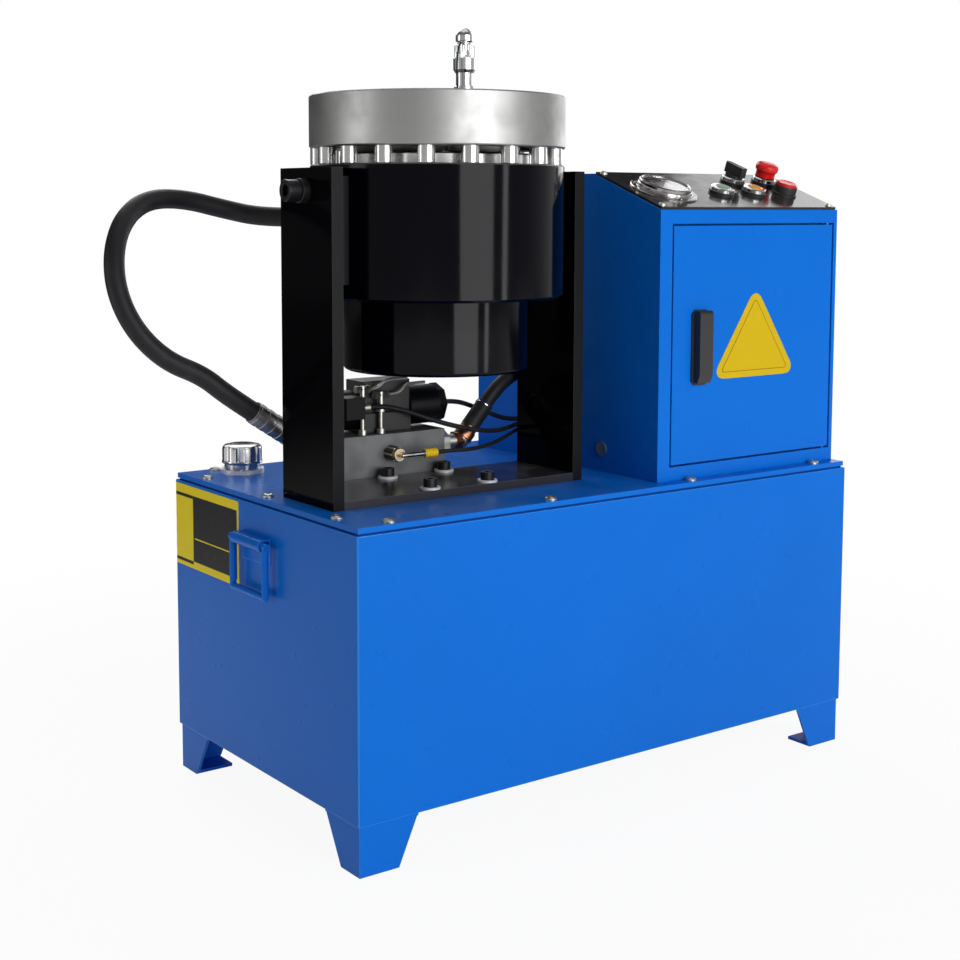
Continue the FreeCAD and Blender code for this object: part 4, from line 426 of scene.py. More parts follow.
# %% [markdown]
# Bare metal differs from one part to the next by what last touched it. A lathe leaves fine rings round the
# axis, a grinder fine straight lines, zinc plating a cloudy yellowish grey, and black oxide a dark oily skin.
# One function makes them all. The ring round the dies gets its rings from the distance to the head's axis.

# %% Bare and plated metal
HEAD_X, HEAD_Y = -0.1725, -0.065


def metal(name, colour, rough, grain, depth=0.00001, cloud=0.35, dark=0.6, size=14.0, metallic=1.0,
          axis=None):
    """Metal with machining marks: grain is how fine they are along x, y and z, or along radius and height."""
    skin = Finish(name)
    cloudy = skin.noise(skin.place(), size, 4.0)
    along = skin.round_axis(*axis) if axis else skin.place()
    marks = skin.noise(skin.add("VectorMath", {"operation": "MULTIPLY"}, {0: along, 1: grain}), 1.0, 2.0)
    worn = cloudy.ramp(0.38, 0.72)
    skin.set(Metallic=metallic, Base_Color=skin.mix(worn * cloud, colour, [dark * c for c in colour]),
             Roughness=rough + 0.12 * worn + 0.06 * marks, Normal=skin.bump(marks, depth))
    return skin.material


POLISH = {"grain": (60, 60, 60), "depth": 0.000003}
PLATING = {"grain": (500, 500, 500), "size": 60.0}
turned_steel = metal("turned_steel", (0.36, 0.36, 0.355), 0.38, (1500, 0, 1500), 0.000015, cloud=0.6,
                     dark=0.72, size=26.0, axis=(HEAD_X, HEAD_Y))
ground_steel = metal("ground_steel", (0.62, 0.62, 0.61), 0.18, (40, 40, 1400), 0.000008)
tool_steel = metal("tool_steel", (0.30, 0.29, 0.28), 0.28, (900, 900, 60))
chrome = metal("bright_chrome", (0.74, 0.75, 0.76), 0.09, **POLISH, cloud=0.12, dark=0.85)
gauge_chrome = metal("gauge_chrome", (0.36, 0.34, 0.34), 0.16, **POLISH, cloud=0.2, dark=0.8)
worn_chrome = metal("worn_chrome", (0.46, 0.46, 0.47), 0.13, **POLISH, cloud=0.3, dark=0.7, size=50.0)
zinc = metal("zinc_plate", (0.56, 0.55, 0.50), 0.30, **PLATING, cloud=0.4, dark=0.75)
bright_zinc = metal("bright_zinc", (0.82, 0.82, 0.84), 0.34, **PLATING, cloud=0.2, metallic=0.35)
black_oxide = metal("black_oxide", (0.022, 0.021, 0.024), 0.30, (700, 700, 700), metallic=0.7)
valve_steel = metal("valve_steel", (0.160, 0.163, 0.168), 0.44, (40, 900, 900), 0.00003, cloud=0.6,
                    dark=0.5, size=30.0, metallic=0.55)
copper = metal("copper", (0.36, 0.16, 0.09), 0.28, (500, 500, 500))
brass = metal("brass", (0.60, 0.46, 0.22), 0.24, (500, 500, 500))
cast_iron = metal("painted_casting", (0.028, 0.028, 0.031), 0.42, (420, 420, 420), 0.00015, metallic=0.2)
black_casting = metal("black_casting", (0.008, 0.008, 0.009), 0.36, (420, 420, 420), 0.0001, metallic=0.1)
motor_paint = metal("motor_paint", (0.10, 0.12, 0.14), 0.4, (300, 300, 300), 0.00008, metallic=0.0)
print("metals:", turned_steel.name, chrome.name, zinc.name)

# %% [markdown]
# Moulded parts carry the texture of their mould. A switch body is satin, from a spark-eroded mould, while
# the push faces are polished, so they get a weaker texture and a lower roughness. Glass is a clear shader.

# %% Plastics, rubber and glass


def moulded(name, colour, rough, texture=0.00002, pale=1.5, shine=0.5):
    skin = Finish(name)
    where = skin.place()
    rubbed = skin.noise(where, 55.0, 4.0)
    grain = skin.noise(where, 1500.0, 1.0)
    skin.set(Base_Color=skin.mix(rubbed.ramp(0.5, 0.8) * 0.35, colour, [min(1.0, pale * c) for c in colour]),
             Roughness=rough + 0.14 * rubbed, Specular_IOR_Level=shine, Normal=skin.bump(grain, texture))
    return skin.material


panel_black = moulded("panel_black", (0.024, 0.022, 0.024), 0.08, 0.000005, shine=0.16)
switch_black = moulded("switch_black", (0.014, 0.014, 0.015), 0.34)
coil_black = moulded("coil_black", (0.003, 0.003, 0.004), 0.30, shine=0.15)
push_green = moulded("push_green", (0.20, 0.33, 0.22), 0.26, pale=1.25)
push_orange = moulded("push_orange", (0.72, 0.30, 0.05), 0.26, pale=1.2)
push_red = moulded("push_red", (0.70, 0.012, 0.014), 0.24, 0.000008, shine=0.3)
yellow_plastic = moulded("yellow_plastic", (0.80, 0.52, 0.01), 0.34, shine=0.25)
device_grey = moulded("device_grey", (0.33, 0.33, 0.31), 0.4)
gasket_rubber = moulded("gasket_rubber", (0.012, 0.012, 0.012), 0.55)
needle_paint = moulded("needle_paint", (0.02, 0.02, 0.02), 0.4)
dial_white = moulded("dial_white", (0.44, 0.43, 0.42), 0.35, 0.000004, pale=1.0, shine=0.2)
dial_ink = moulded("dial_ink", (0.015, 0.015, 0.018), 0.4, 0.000004)

glass = Finish("dial_glass")
smear = glass.noise(glass.place(), 90.0, 3.0)
glass.set(Base_Color=(0.96, 0.98, 0.98), Roughness=0.02 + 0.05 * smear, IOR=1.45, Transmission_Weight=1.0)
dial_glass = glass.material

# %% [markdown]
# Each solid first takes the finish that its place in the machine calls for. Later cells replace some of them
# with finer pieces, and the rest stay as they are.

# %% Paint the solids
FINISH_OF = {"blue_paint": blue_enamel, "black_paint": black_enamel, "black_oxide": black_oxide,
             "chrome_trim": chrome, "green_plastic": push_green, "orange_plastic": push_orange,
             "red_plastic": push_red, "tool_steel": tool_steel, "switch_plastic": switch_black, "zinc": zinc,
             "ground_steel": turned_steel, "cable_sheath": cable_sheath, "hose_rubber": hose_rubber,
             "cast": valve_steel, "coil_plastic": coil_black, "dial_glass": dial_glass,
             "pointer_black": needle_paint, "gasket_rubber": gasket_rubber, "alloy": motor_paint}


def paint(node, skin):
    """Gives a solid that stays as it is another finish."""
    for place in nodes[node].material_slots:
        place.material = skin


for row in frame["record"]["subparts"]:
    paint(row["node"], FINISH_OF[row["material_slot"]])
# The lid's gasket takes the dark blue, a painted shadow line under the lid's edge.
for node, skin in {"pump_body": cast_iron, "ram": ground_steel, "filler_neck": bright_zinc,
                   "lid_gasket": seam_shadow_enamel, "switchgear": device_grey}.items():
    paint(node, skin)

# %% [markdown]
# Every piece ends the same way: its place goes into its mesh, it takes a finish, it rides on the body that
# carries it, and it stands for the solids it covers. Sizes are written in millimetres, as on the drawing,
# and the helpers turn them into metres. A turned piece is made as a lathe makes it: a disc is pulled along
# its axis, and widened or narrowed at each step.

# %% Helpers for modelling
BODY_OF = {node: body for body, names in frame["record"]["behaviour"]["bodies"].items() for node in names}


def alone(piece):
    """Selects one object and nothing else."""
    if bpy.context.mode != "OBJECT":
        bpy.ops.object.mode_set(mode="OBJECT")
    bpy.ops.object.select_all(action="DESELECT")
    piece.select_set(True)
    bpy.context.view_layer.objects.active = piece
    return piece


def soften(piece, width, segments=2, angle=40):
    """Rounds the sharp edges of a piece with a Bevel modifier, applied."""
    alone(piece)
    rounding = piece.modifiers.new("rounding", "BEVEL")
    rounding.width = width * MM
    rounding.segments = segments
    rounding.limit_method = "ANGLE"
    rounding.angle_limit = math.radians(angle)
    bpy.ops.object.modifier_apply(modifier=rounding.name)
    return piece


def seat(piece, name, skin, body="stand", stands_for=(), smooth=35):
    """Puts a piece's place into its mesh, and gives it a finish, a body and the solids it covers.

    The weighted normals keep large flat faces flat where they meet a rounded edge.
    """
    alone(piece)
    bpy.ops.object.transform_apply(location=True, rotation=True, scale=True)
    bpy.ops.object.shade_smooth_by_angle(angle=math.radians(smooth))
    evening = piece.modifiers.new("evening", "WEIGHTED_NORMAL")
    evening.keep_sharp = True
    bpy.ops.object.modifier_apply(modifier=evening.name)
    piece.name = name
    piece.data.name = name
    piece.data.materials.clear()
    piece.data.materials.append(skin)
    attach(piece, body)
    if stands_for:
        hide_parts(*stands_for)
    return piece


def join(pieces):
    alone(pieces[0])
    for piece in pieces:
        piece.select_set(True)
    if len(pieces) > 1:
        bpy.ops.object.join()
    return bpy.context.view_layer.objects.active


def turned(steps, at=(0, 0, 0), way=(0, 0, 1), sides=48, hoop=False):
    """A turned piece from its steps, each a radius and a height on its axis; a hoop ends where it began."""
    radius, height = steps[0]
    bpy.ops.mesh.primitive_circle_add(vertices=sides, radius=radius * MM, location=(0, 0, 0),
                                      fill_type="NOTHING" if hoop else "NGON")
    piece = alone(bpy.context.object)
    bpy.ops.object.mode_set(mode="EDIT")
    bpy.ops.mesh.select_mode(type="VERT")
    bpy.ops.mesh.select_all(action="SELECT")
    bpy.ops.transform.translate(value=(0, 0, height * MM))
    for wide, tall in steps[1:] + steps[:1] * hoop:
        bpy.ops.mesh.extrude_region_move(TRANSFORM_OT_translate={"value": (0, 0, (tall - height) * MM)})
        if wide != radius:
            share = wide / radius
            bpy.ops.transform.resize(value=(share, share, 1), center_override=(0, 0, tall * MM))
        radius, height = wide, tall
    bpy.ops.mesh.select_all(action="SELECT")
    bpy.ops.mesh.remove_doubles(threshold=0.000001)
    bpy.ops.mesh.normals_make_consistent(inside=False)
    bpy.ops.object.mode_set(mode="OBJECT")
    piece.rotation_euler = Vector((0, 0, 1)).rotation_difference(Vector(way)).to_euler()
    piece.location = [c * MM for c in at]
    return piece


def block(low, high, width=0.0):
    """A box between two corners; a width rounds its edges."""
    bpy.ops.mesh.primitive_cube_add(size=1, location=[(a + b) / 2 * MM for a, b in zip(low, high)])
    piece = alone(bpy.context.object)
    piece.scale = [(b - a) * MM for a, b in zip(low, high)]
    bpy.ops.object.transform_apply(location=True, rotation=False, scale=True)
    if width:
        soften(piece, width)
    return piece


def pick(piece, kind, test):
    """Opens a piece for editing, with the faces, edges or vertices selected that pass a test."""
    alone(piece)
    bpy.ops.object.mode_set(mode="EDIT")
    bpy.ops.mesh.select_mode(type=kind)
    bpy.ops.mesh.select_all(action="DESELECT")
    shape = bmesh.from_edit_mesh(piece.data)
    for item in {"FACE": shape.faces, "EDGE": shape.edges, "VERT": shape.verts}[kind]:
        if test(item):
            item.select_set(True)
    bmesh.update_edit_mesh(piece.data)


def close(piece):
    bpy.ops.mesh.select_all(action="SELECT")
    bpy.ops.mesh.normals_make_consistent(inside=False)
    bpy.ops.object.mode_set(mode="OBJECT")
    return piece


def wear(piece, skin, test):
    """Gives the faces that pass a test, such as rounded edges, another finish; it serves for real wear and
    for painted highlights.
    """
    piece.data.materials.append(skin)
    pick(piece, "FACE", test)
    piece.active_material_index = len(piece.data.materials) - 1
    bpy.ops.object.material_slot_assign()
    bpy.ops.object.mode_set(mode="OBJECT")
    return piece


def slanting(face):
    """A face whose normal lies along no axis, as on a rounded edge of an upright or level plate."""
    return max(abs(c) for c in face.normal) < 0.97


def rolled_edge(face):
    """A narrow slanting face."""
    return slanting(face) and min(edge.calc_length() for edge in face.edges) < 1.2 * MM


def ribbed(piece, low, high, radius, depth):
    """Pushes every second vertex of a band inwards, which makes straight ribs round a turned piece."""
    inner, outer = sorted((low, high))
    count = [0]

    def every_second(spot):
        out = math.hypot(spot.co.x, spot.co.y)
        if not (inner * MM < spot.co.z < outer * MM and out > (radius - 0.05) * MM):
            return False
        turn = round(math.atan2(spot.co.y, spot.co.x) / (2 * math.pi) * count[0])
        return turn % 2 == 1

    count[0] = sum(1 for v in piece.data.vertices if abs(v.co.z - piece.data.vertices[0].co.z) < 1e-7)
    pick(piece, "VERT", every_second)
    shrink = (radius - depth) / radius
    bpy.ops.transform.resize(value=(shrink, shrink, 1), center_override=(0, 0, 0))
    bpy.ops.object.mode_set(mode="OBJECT")
    return piece


def pipe(points, radius, sides=12):
    """A thin bent pipe through a few points, as one mesh."""
    alone(bent_rod("pipe", points, radius, 8, sides // 4))
    bpy.ops.object.convert(target="MESH")
    return bpy.context.object


def copy_of(node):
    """A solid's mesh as one clean surface."""
    alone(nodes[node])
    bpy.ops.object.duplicate()
    piece = bpy.context.object
    bpy.ops.object.mode_set(mode="EDIT")
    bpy.ops.mesh.select_all(action="SELECT")
    bpy.ops.mesh.remove_doubles(threshold=0.00001)
    bpy.ops.mesh.dissolve_limited(angle_limit=math.radians(2))
    bpy.ops.object.mode_set(mode="OBJECT")
    return piece


def dressed(node, skin, slot, width, segments=2):
    """Replaces a solid by its own shape with rounded edges."""
    piece = soften(copy_of(node), width, segments)
    return seat(piece, node + "_finished", skin, BODY_OF[node], [node])


# %% [markdown]
# The tank is welded from sheet, so its upright corners are folded and its mouth has an inward flange that
# carries the lid. It starts as a block. The upright edges get a wide bevel, and the top face is inset for
# the flange and pushed down for the hollow. On each end sits a strap of sheet rolled round the pin of a
# carrying handle. A spin of the strap's end face rolls it as a bender would.

# %% Oil tank and handle straps
TANK_HALF, TANK_DEEP, TANK_FOOT, TANK_TOP = 375, 212, 56, 366
FLANGE, FLOOR_THICK = 24, 7
STRAP_REACH, STRAP_Z, STRAP_THICK = 10, 329.2, 2.6
STRAP_FRONT, STRAP_BACK = -29, 37
STRAP_TOP, PIN_Z = STRAP_Z + STRAP_THICK, 325


def upright_corner(edge):
    """An edge of the tank's outer wall that runs the whole way up."""
    first, last = (corner.co for corner in edge.verts)
    return abs(first.z - last.z) > (TANK_TOP - TANK_FOOT - 5) * MM and abs(first.x) > (TANK_HALF - 5) * MM


tank = block((-TANK_HALF, -TANK_DEEP, TANK_FOOT), (TANK_HALF, TANK_DEEP, TANK_TOP))
pick(tank, "FACE", lambda face: face.normal.z > 0.9)
bpy.ops.mesh.inset(thickness=FLANGE * MM)
depth = TANK_TOP - TANK_FOOT - FLOOR_THICK
bpy.ops.mesh.extrude_region_move(TRANSFORM_OT_translate={"value": (0, 0, -depth * MM)})
pick(tank, "EDGE", upright_corner)
bpy.ops.mesh.bevel(offset=3 * MM, segments=4)
close(tank)
soften(tank, 1.0)

straps = []
for side in (-1, 1):
    wall, reach = side * TANK_HALF, side * (TANK_HALF + STRAP_REACH)
    strap = block((min(wall, reach), STRAP_FRONT, STRAP_Z), (max(wall, reach), STRAP_BACK, STRAP_TOP))
    pick(strap, "FACE", lambda face, side=side: face.normal.x * side > 0.9)
    bpy.ops.mesh.spin(steps=16, angle=-side * math.radians(285), center=(reach * MM, 0, PIN_Z * MM),
                      axis=(0, 1, 0))
    close(strap)
    straps.append(soften(strap, 0.5, 1, 60))
    straps.append(block((wall - 1.2, STRAP_FRONT, 300), (wall + 1.2, STRAP_BACK, STRAP_TOP), 0.8))
tank = seat(join([tank] + straps), "oil_tank", blue_enamel, "stand", ["tank_shell"])
# Here and below, the rounded edges of the tank, its straps, the lid and the feet take the lighter blue, a
# painted highlight.
wear(tank, edge_highlight_enamel, rolled_edge)
for node, width in {"tank_lid": 1.2, "tank_feet": 1.0}.items():
    wear(dressed(node, blue_enamel, "blue_paint", width), edge_highlight_enamel, rolled_edge)

# %% [markdown]
# The side label and the triangle on the door are thin vinyl. Both stay bare: the label keeps its yellow
# frame, black field and dividing lines. Its pattern is a mask on Object coordinates, so it is as sharp as
# print. The triangle is three thin discs with three sides and round corners, one on another, and the middle
# one shows as a fine line.

# %% Bare label and bare triangle


def band(value, low, high, soft=0.0004):
    """1 where a length in metres lies between two limits."""
    return value.ramp(low - soft, low + soft) * (1 - value.ramp(high - soft, high + soft))


def vinyl(name, ground, ink=None, mask_of=None):
    """A vinyl sheet; mask_of turns x, y and z into the share of ink."""
    skin = Finish(name)
    where = skin.place()
    scuff = skin.noise(where, 120.0, 4.0)
    printed = skin.mix(mask_of(*skin.axes(where)), ground, ink) if mask_of else ground
    skin.set(Base_Color=skin.mix(scuff.ramp(0.6, 0.85) * 0.08, printed, (0.5, 0.45, 0.2)),
             Roughness=0.30 + 0.2 * scuff, Specular_IOR_Level=0.12)
    return skin.material


def label_ink(x, y, z):
    field = band(y, 0.050, 0.163) * band(z, 0.271, 0.352)
    strips = band(y, 0.163, 0.209) * (band(z, 0.267, 0.271) + band(z, 0.348, 0.352))
    line = band(y, 0.054, 0.159) * band(z, 0.299, 0.3005)
    return (field - line).sum("MAXIMUM", strips)


label_vinyl = vinyl("label_vinyl", (0.92, 0.72, 0.012), (0.008, 0.008, 0.009), label_ink)
label = block((-TANK_HALF - 0.35, 46, 262), (-TANK_HALF + 0.1, 209, 363))
pick(label, "EDGE", lambda edge: abs(edge.verts[0].co.x - edge.verts[1].co.x) > 0.0003)
bpy.ops.mesh.bevel(offset=2 * MM, segments=4)
close(label)
seat(label, "side_label", label_vinyl)

SIGN_X, DOOR_FACE, SIGN_Z = 224.5, -189.5, 530.8
SIGN_RADIUS, SIGN_CORNER = 86, 22
triangle_vinyl = vinyl("triangle_vinyl", (0.62, 0.43, 0.008))
triangle_line = vinyl("triangle_line", (0.36, 0.20, 0.004))


def rounded_triangle(inset, thick):
    """A three-sided disc with round corners, on the door; inset makes a smaller one inside it."""
    bpy.ops.mesh.primitive_circle_add(vertices=3, radius=(SIGN_RADIUS - 2 * inset) * MM, fill_type="NGON")
    piece = alone(bpy.context.object)
    pick(piece, "VERT", lambda spot: True)
    bpy.ops.mesh.bevel(offset=(SIGN_CORNER - math.sqrt(3) * inset) * MM, segments=8, affect="VERTICES")
    bpy.ops.mesh.select_all(action="SELECT")
    bpy.ops.transform.resize(value=(1, 0.88, 1), center_override=(0, 0, 0))
    bpy.ops.mesh.extrude_region_move(TRANSFORM_OT_translate={"value": (0, 0, thick * MM)})
    close(piece)
    piece.rotation_euler = (math.radians(90), 0, 0)
    piece.location = (SIGN_X * MM, DOOR_FACE * MM, SIGN_Z * MM)
    return piece


for name, inset, thick, skin in (("door_triangle", 0, 0.3, triangle_vinyl),
                                 ("door_triangle_line", 8.5, 0.4, triangle_line),
                                 ("door_triangle_field", 9.8, 0.5, triangle_vinyl)):
    sign = seat(rounded_triangle(inset, thick), name, skin, BODY_OF["door"])
    print(name, "is %.0f mm wide" % (sign.dimensions.x / MM))

# %% [markdown]
# The press head hangs between two thick plates on a base plate. All are plate steel, so their edges are
# flame-cut and ground: rounded a little, with the enamel rubbed thin. Each solid is copied, its edges are
# bevelled, and the narrow bevelled faces take a paler finish. A bevel modifier does this faster than
# picking edges, because its angle limit leaves the round walls alone. The photograph shows the lower housing
# a little wider than its solid, so its copy is widened about the head's axis.

# %% Frame plates and press head
HOUSING_RADIUS, SOLID_RADIUS = 109, 100


def top_rim(face):
    return 0.2 < face.normal.z < 0.95


for node, width, skin, rubbed in (("frame_plates", 1.6, plate_enamel, slanting),
                                  ("frame_base", 1.4, satin_enamel, slanting),
                                  ("barrel", 1.6, black_enamel, top_rim),
                                  ("lower_housing", 1.4, black_enamel, top_rim)):
    piece = wear(dressed(node, skin, "black_paint", width), worn_enamel, rubbed)
    print(piece.name, len(piece.data.polygons), "faces")
# Only the front faces of the frame plates take the lighter black, a painted highlight from the light in
# front.
wear(bpy.data.objects["frame_plates_finished"], plate_front_highlight_enamel, lambda face: face.normal.y < -0.97)
wide = HOUSING_RADIUS / SOLID_RADIUS
pick(bpy.data.objects["lower_housing_finished"], "VERT", lambda spot: True)
bpy.ops.transform.resize(value=(wide, wide, 1), center_override=(HEAD_X, HEAD_Y, 0))
bpy.ops.object.mode_set(mode="OBJECT")
for node, width, skin in (("top_ring", 0.8, turned_steel), ("pillar_sleeves", 0.6, ground_steel),
                          ("cone_bowl", 0.8, ground_steel)):
    dressed(node, skin, "tool_steel" if node == "cone_bowl" else "ground_steel", width)
for node, width in {"side_screws": 1.0, "base_bolts": 0.6, "ring_bolts": 0.5}.items():
    dressed(node, black_oxide, "black_oxide", width)

washers = []
for x in (-213, -132):
    for y in (-109, -21):
        washers.append(turned([(11.8, 384.05), (12.0, 386.0), (11.3, 386.8), (8.6, 386.8), (8.5, 384.05)],
                              (x, y, 0), hoop=True))
seat(join(washers), "base_washers", bright_zinc)

# %% [markdown]
# The micrometer that sets the closing diameter stands on the ring. Its thimble is hollow and turns round
# the sleeve, so its outline starts inside, at the roof of the bore, and comes down and out. The grip's
# straight knurl is cut by pushing every second vertex of that band inwards.

# %% Micrometer
STOP = (-206.85, -164.75, 0)


def engraved(name, marks_of):
    skin = Finish(name)
    where = skin.place(centre=(STOP[0] * MM, STOP[1] * MM, 0))
    x, y, z = skin.axes(where)
    turn = y.sum("ARCTAN2", x) / (2 * math.pi)
    fine = skin.noise(where, 900.0, 2.0)
    skin.set(Metallic=1.0, Base_Color=skin.mix(marks_of(turn, z), (0.66, 0.67, 0.68), (0.02, 0.02, 0.02)),
             Roughness=0.12 + 0.16 * fine, Normal=skin.bump(fine, 0.000004))
    return skin.material


thimble_skin = engraved("thimble_chrome", lambda turn, z: band(z, 0.8476, 0.8502, 0.0001)
                        * (1 - (turn * 50).sum("FRACT").ramp(0.16, 0.24)))
sleeve_skin = engraved("sleeve_chrome", lambda turn, z: band(z, 0.8335, 0.8465, 0.0001)
                       * (band(turn, -0.38, -0.32, 0.002) * (1 - (z * 1000).sum("FRACT").ramp(0.2, 0.3))))
barrel = turned([(11, 828), (11, 832.4), (10.4, 833), (9, 833.2), (9, 860)], STOP)
seat(barrel, "micrometer_barrel", sleeve_skin, BODY_OF["micrometer_sleeve"],
     ["micrometer_sleeve"])
thimble = turned([(9.3, 861), (9.3, 847), (10, 847), (12, 850.5), (12, 862.5), (11.6, 863), (11, 863.2),
                  (11, 875.5), (10.5, 876), (5, 876.2), (5, 880), (8.9, 880.2), (9.5, 881), (9.5, 886.3),
                  (9, 888.2), (7.6, 890.6), (5.6, 892.8), (3.2, 894.4), (1, 895)], sides=60)
ribbed(thimble, 863.1, 875.6, 11, 0.7)
thimble.location = [c * MM for c in STOP]
seat(thimble, "micrometer_grip", thimble_skin, "thimble", ["micrometer_thimble"], 28)

# %% [markdown]
# The filler cap is pressed and chromed. It is turned hollow, because it fits over the neck, with a narrow
# skirt below and a nearly flat crown. Eight finger flutes are cut out of its side by a Boolean with a ring of
# cylinders, and small screws hold the flange under it.

# %% Filler cap
CAP = (-305, 168, 0)


def round_the_cap(count, circle, start=0.0):
    """Places at equal steps on a circle about the cap's axis."""
    turns = [math.radians(start + 360 * step / count) for step in range(count)]
    return [(CAP[0] + circle * math.cos(turn), CAP[1] + circle * math.sin(turn), 0) for turn in turns]


cap = turned([(19.4, 393), (19.4, 379.4), (21.8, 379.4), (21.8, 385.2), (24.8, 386.4), (25, 388.2),
              (24.6, 389), (24.6, 404.8), (23.8, 406.8), (21.6, 408.5), (17, 409.6), (9, 410), (0.5, 410)],
             CAP, sides=96)
flutes = join([turned([(8, 389.6), (8, 414)], spot, sides=32) for spot in round_the_cap(8, 29.8, 12)])
alone(cap)
cutting = cap.modifiers.new("flutes", "BOOLEAN")
cutting.object = flutes
cutting.operation = "DIFFERENCE"
bpy.ops.object.modifier_apply(modifier=cutting.name)
alone(flutes)
bpy.ops.object.delete()
seat(soften(cap, 0.5, 2, 35), "filler_cap_fluted", worn_chrome, BODY_OF["filler_cap"],
     ["filler_cap"], 30)
flange_screws = [turned([(1.9, 379.05), (1.9, 379.9), (1.2, 380.5)], spot, sides=16)
                 for spot in round_the_cap(6, 24.4)]
seat(join(flange_screws), "filler_flange_screws", chrome)

# %% [markdown]
# The control panel slopes, so each of its pieces is modelled upright at the origin and then laid on the
# slope by one matrix. The pressure gauge is a stack of polished rings round a white dial. A push button
# has a black base, a chrome ring and a coloured face, and the red one stands in a black collar instead. The
# stop button is a mushroom with a thick neck, which goes down inside its ribbed ring.

# %% Gauge and buttons
LEAN = math.radians(19.7)
PANEL_FOOT, PANEL_THICK = 700, 3


def on_panel(piece, x, s):
    """Lays a piece on the panel, x along it and s up its slope."""
    y = DOOR_FACE + s * math.cos(LEAN) - PANEL_THICK * math.sin(LEAN)
    z = PANEL_FOOT + s * math.sin(LEAN) + PANEL_THICK * math.cos(LEAN)
    slope = Matrix.Translation(Vector((x, y, z)) * MM) @ Matrix.Rotation(LEAN, 4, "X")
    piece.matrix_world = slope @ piece.matrix_world
    return piece


dressed("control_panel", panel_black, "switch_plastic", 0.6)
GAUGE = (118, 60)
case = turned([(30, -34), (30, -0.1), (42.5, 0), (42.5, 1.3), (41.8, 2.1), (36.3, 2.4), (35.7, 3.3),
               (34.6, 3.6), (33.9, 6.0), (33.1, 6.6), (33, 9.7), (32, 11), (30.6, 11), (29.5, 9.8),
               (29.2, 1.95)], sides=96)
screws = []
for turn in (20, 140, 260):
    head = (38.9 * math.cos(math.radians(turn)), 38.9 * math.sin(math.radians(turn)), 0)
    screws.append(turned([(2.7, 2.1), (2.7, 3.0), (2.1, 3.9), (1.0, 4.2)], head, sides=20))
seat(on_panel(join([case] + screws), *GAUGE), "gauge_rings", gauge_chrome, "stand",
     ["gauge_case"], 25)
dial = on_panel(turned([(29.1, 1.9), (29.1, 2.0)], sides=96), *GAUGE)
seat(dial, "gauge_dial", dial_white)

DIAL_START, DIAL_STEP, DIAL_STEPS = 225, 9, 30
marks = []
for step in range(DIAL_STEPS + 1):
    turn = math.radians(DIAL_START - DIAL_STEP * step)
    long = 4.5 if step % 5 == 0 else 2.5
    mark = block((27.5 - long, -0.22, 2.0), (27.5, 0.22, 2.06))
    mark.matrix_world = Matrix.Rotation(turn, 4, "Z")
    marks.append(mark)
    if step % 5 == 0:
        bpy.ops.object.text_add(location=(19 * MM * math.cos(turn), 19 * MM * math.sin(turn), 2.02 * MM))
        number = bpy.context.object
        number.data.body = str(step)
        number.data.size = 5.4 * MM
        number.data.align_x = "CENTER"
        number.data.align_y = "CENTER"
        number.data.extrude = 0.02 * MM
        alone(number)
        bpy.ops.object.convert(target="MESH")
        marks.append(bpy.context.object)
seat(on_panel(join(marks), *GAUGE), "gauge_marks", dial_ink)

COLUMNS = (209, 266, 323)
FRONT_ROW, BACK_ROW = 52, 92
BUTTONS = {"green": (COLUMNS[0], FRONT_ROW, 9.5), "orange": (COLUMNS[1], FRONT_ROW, 9.5),
           "red": (COLUMNS[2], FRONT_ROW, 13.6), "selector": (COLUMNS[1], BACK_ROW, 6.8),
           "stop": (COLUMNS[2], BACK_ROW, 6.8)}
bases = []
rings = []
for name, (x, s, bore) in BUTTONS.items():
    if name == "red":
        rise = [(16.2, 0), (16.2, 2.4), (15, 3.2), (15, 11.6), (14.6, 12.2), (bore + 0.2, 12.2), (bore, 11.8),
                (bore, 4)]
    else:
        rise = [(16.2, 0), (16.2, 3.6), (15.4, 4.2), (bore + 0.1, 4.2), (bore, -9.5)]
        inner = 13.4 if name == "stop" else bore
        hoop = turned([(15, 4.15), (15, 7.8), (14.4, 8.6), (13.8, 9), (inner + 0.3, 9), (inner, 8.7),
                       (inner, 4.15)], hoop=True, sides=60)
        if bore < 9:
            ribbed(hoop, 4.2, 8.5, 15, 0.9)
        rings.append(on_panel(hoop, x, s))
    bases.append(on_panel(turned([(11, -42), (11, -0.1)] + rise), x, s))
seat(join(bases), "button_bases", switch_black, "stand", ["button_collars"])
seat(join(rings), "button_rings", chrome, smooth=28)
for name, skin in {"green": push_green, "orange": push_orange}.items():
    dressed("button_" + name, skin, name + "_plastic", 0.5)
red_face = turned([(12.6, 8.4), (13.2, 8.9), (13.2, 14.6), (12.8, 15.4), (11.8, 15.9), (10.2, 15.7),
                   (1, 15.3)])
seat(on_panel(red_face, COLUMNS[2], FRONT_ROW), "red_push", push_red, BODY_OF["button_red"],
     ["button_red"])
cap = turned([(6.4, -4), (6.4, 9.4), (12.2, 9.5), (12.8, 10.2), (12.6, 15), (13.2, 17.6), (15, 19.4),
              (15, 23.6), (14.2, 26), (12.2, 27.6), (9, 28.4), (1, 28.5)], sides=60)
seat(on_panel(cap, COLUMNS[2], BACK_ROW), "stop_cap", push_red, BODY_OF["stop_mushroom"],
     ["stop_mushroom"], 40)
dressed("selector_handle", switch_black, "switch_plastic", 0.9, 3)
print("panel pieces:", len(BUTTONS), "buttons and", len(marks), "dial marks")

# %% [markdown]
# The cabinet is folded sheet with a door in a shallow rebate. A fold has a radius of about the sheet's
# thickness, so the edges get a slightly wider bevel than the machined parts. The swing lever of the lock
# is a moulding with soft edges.

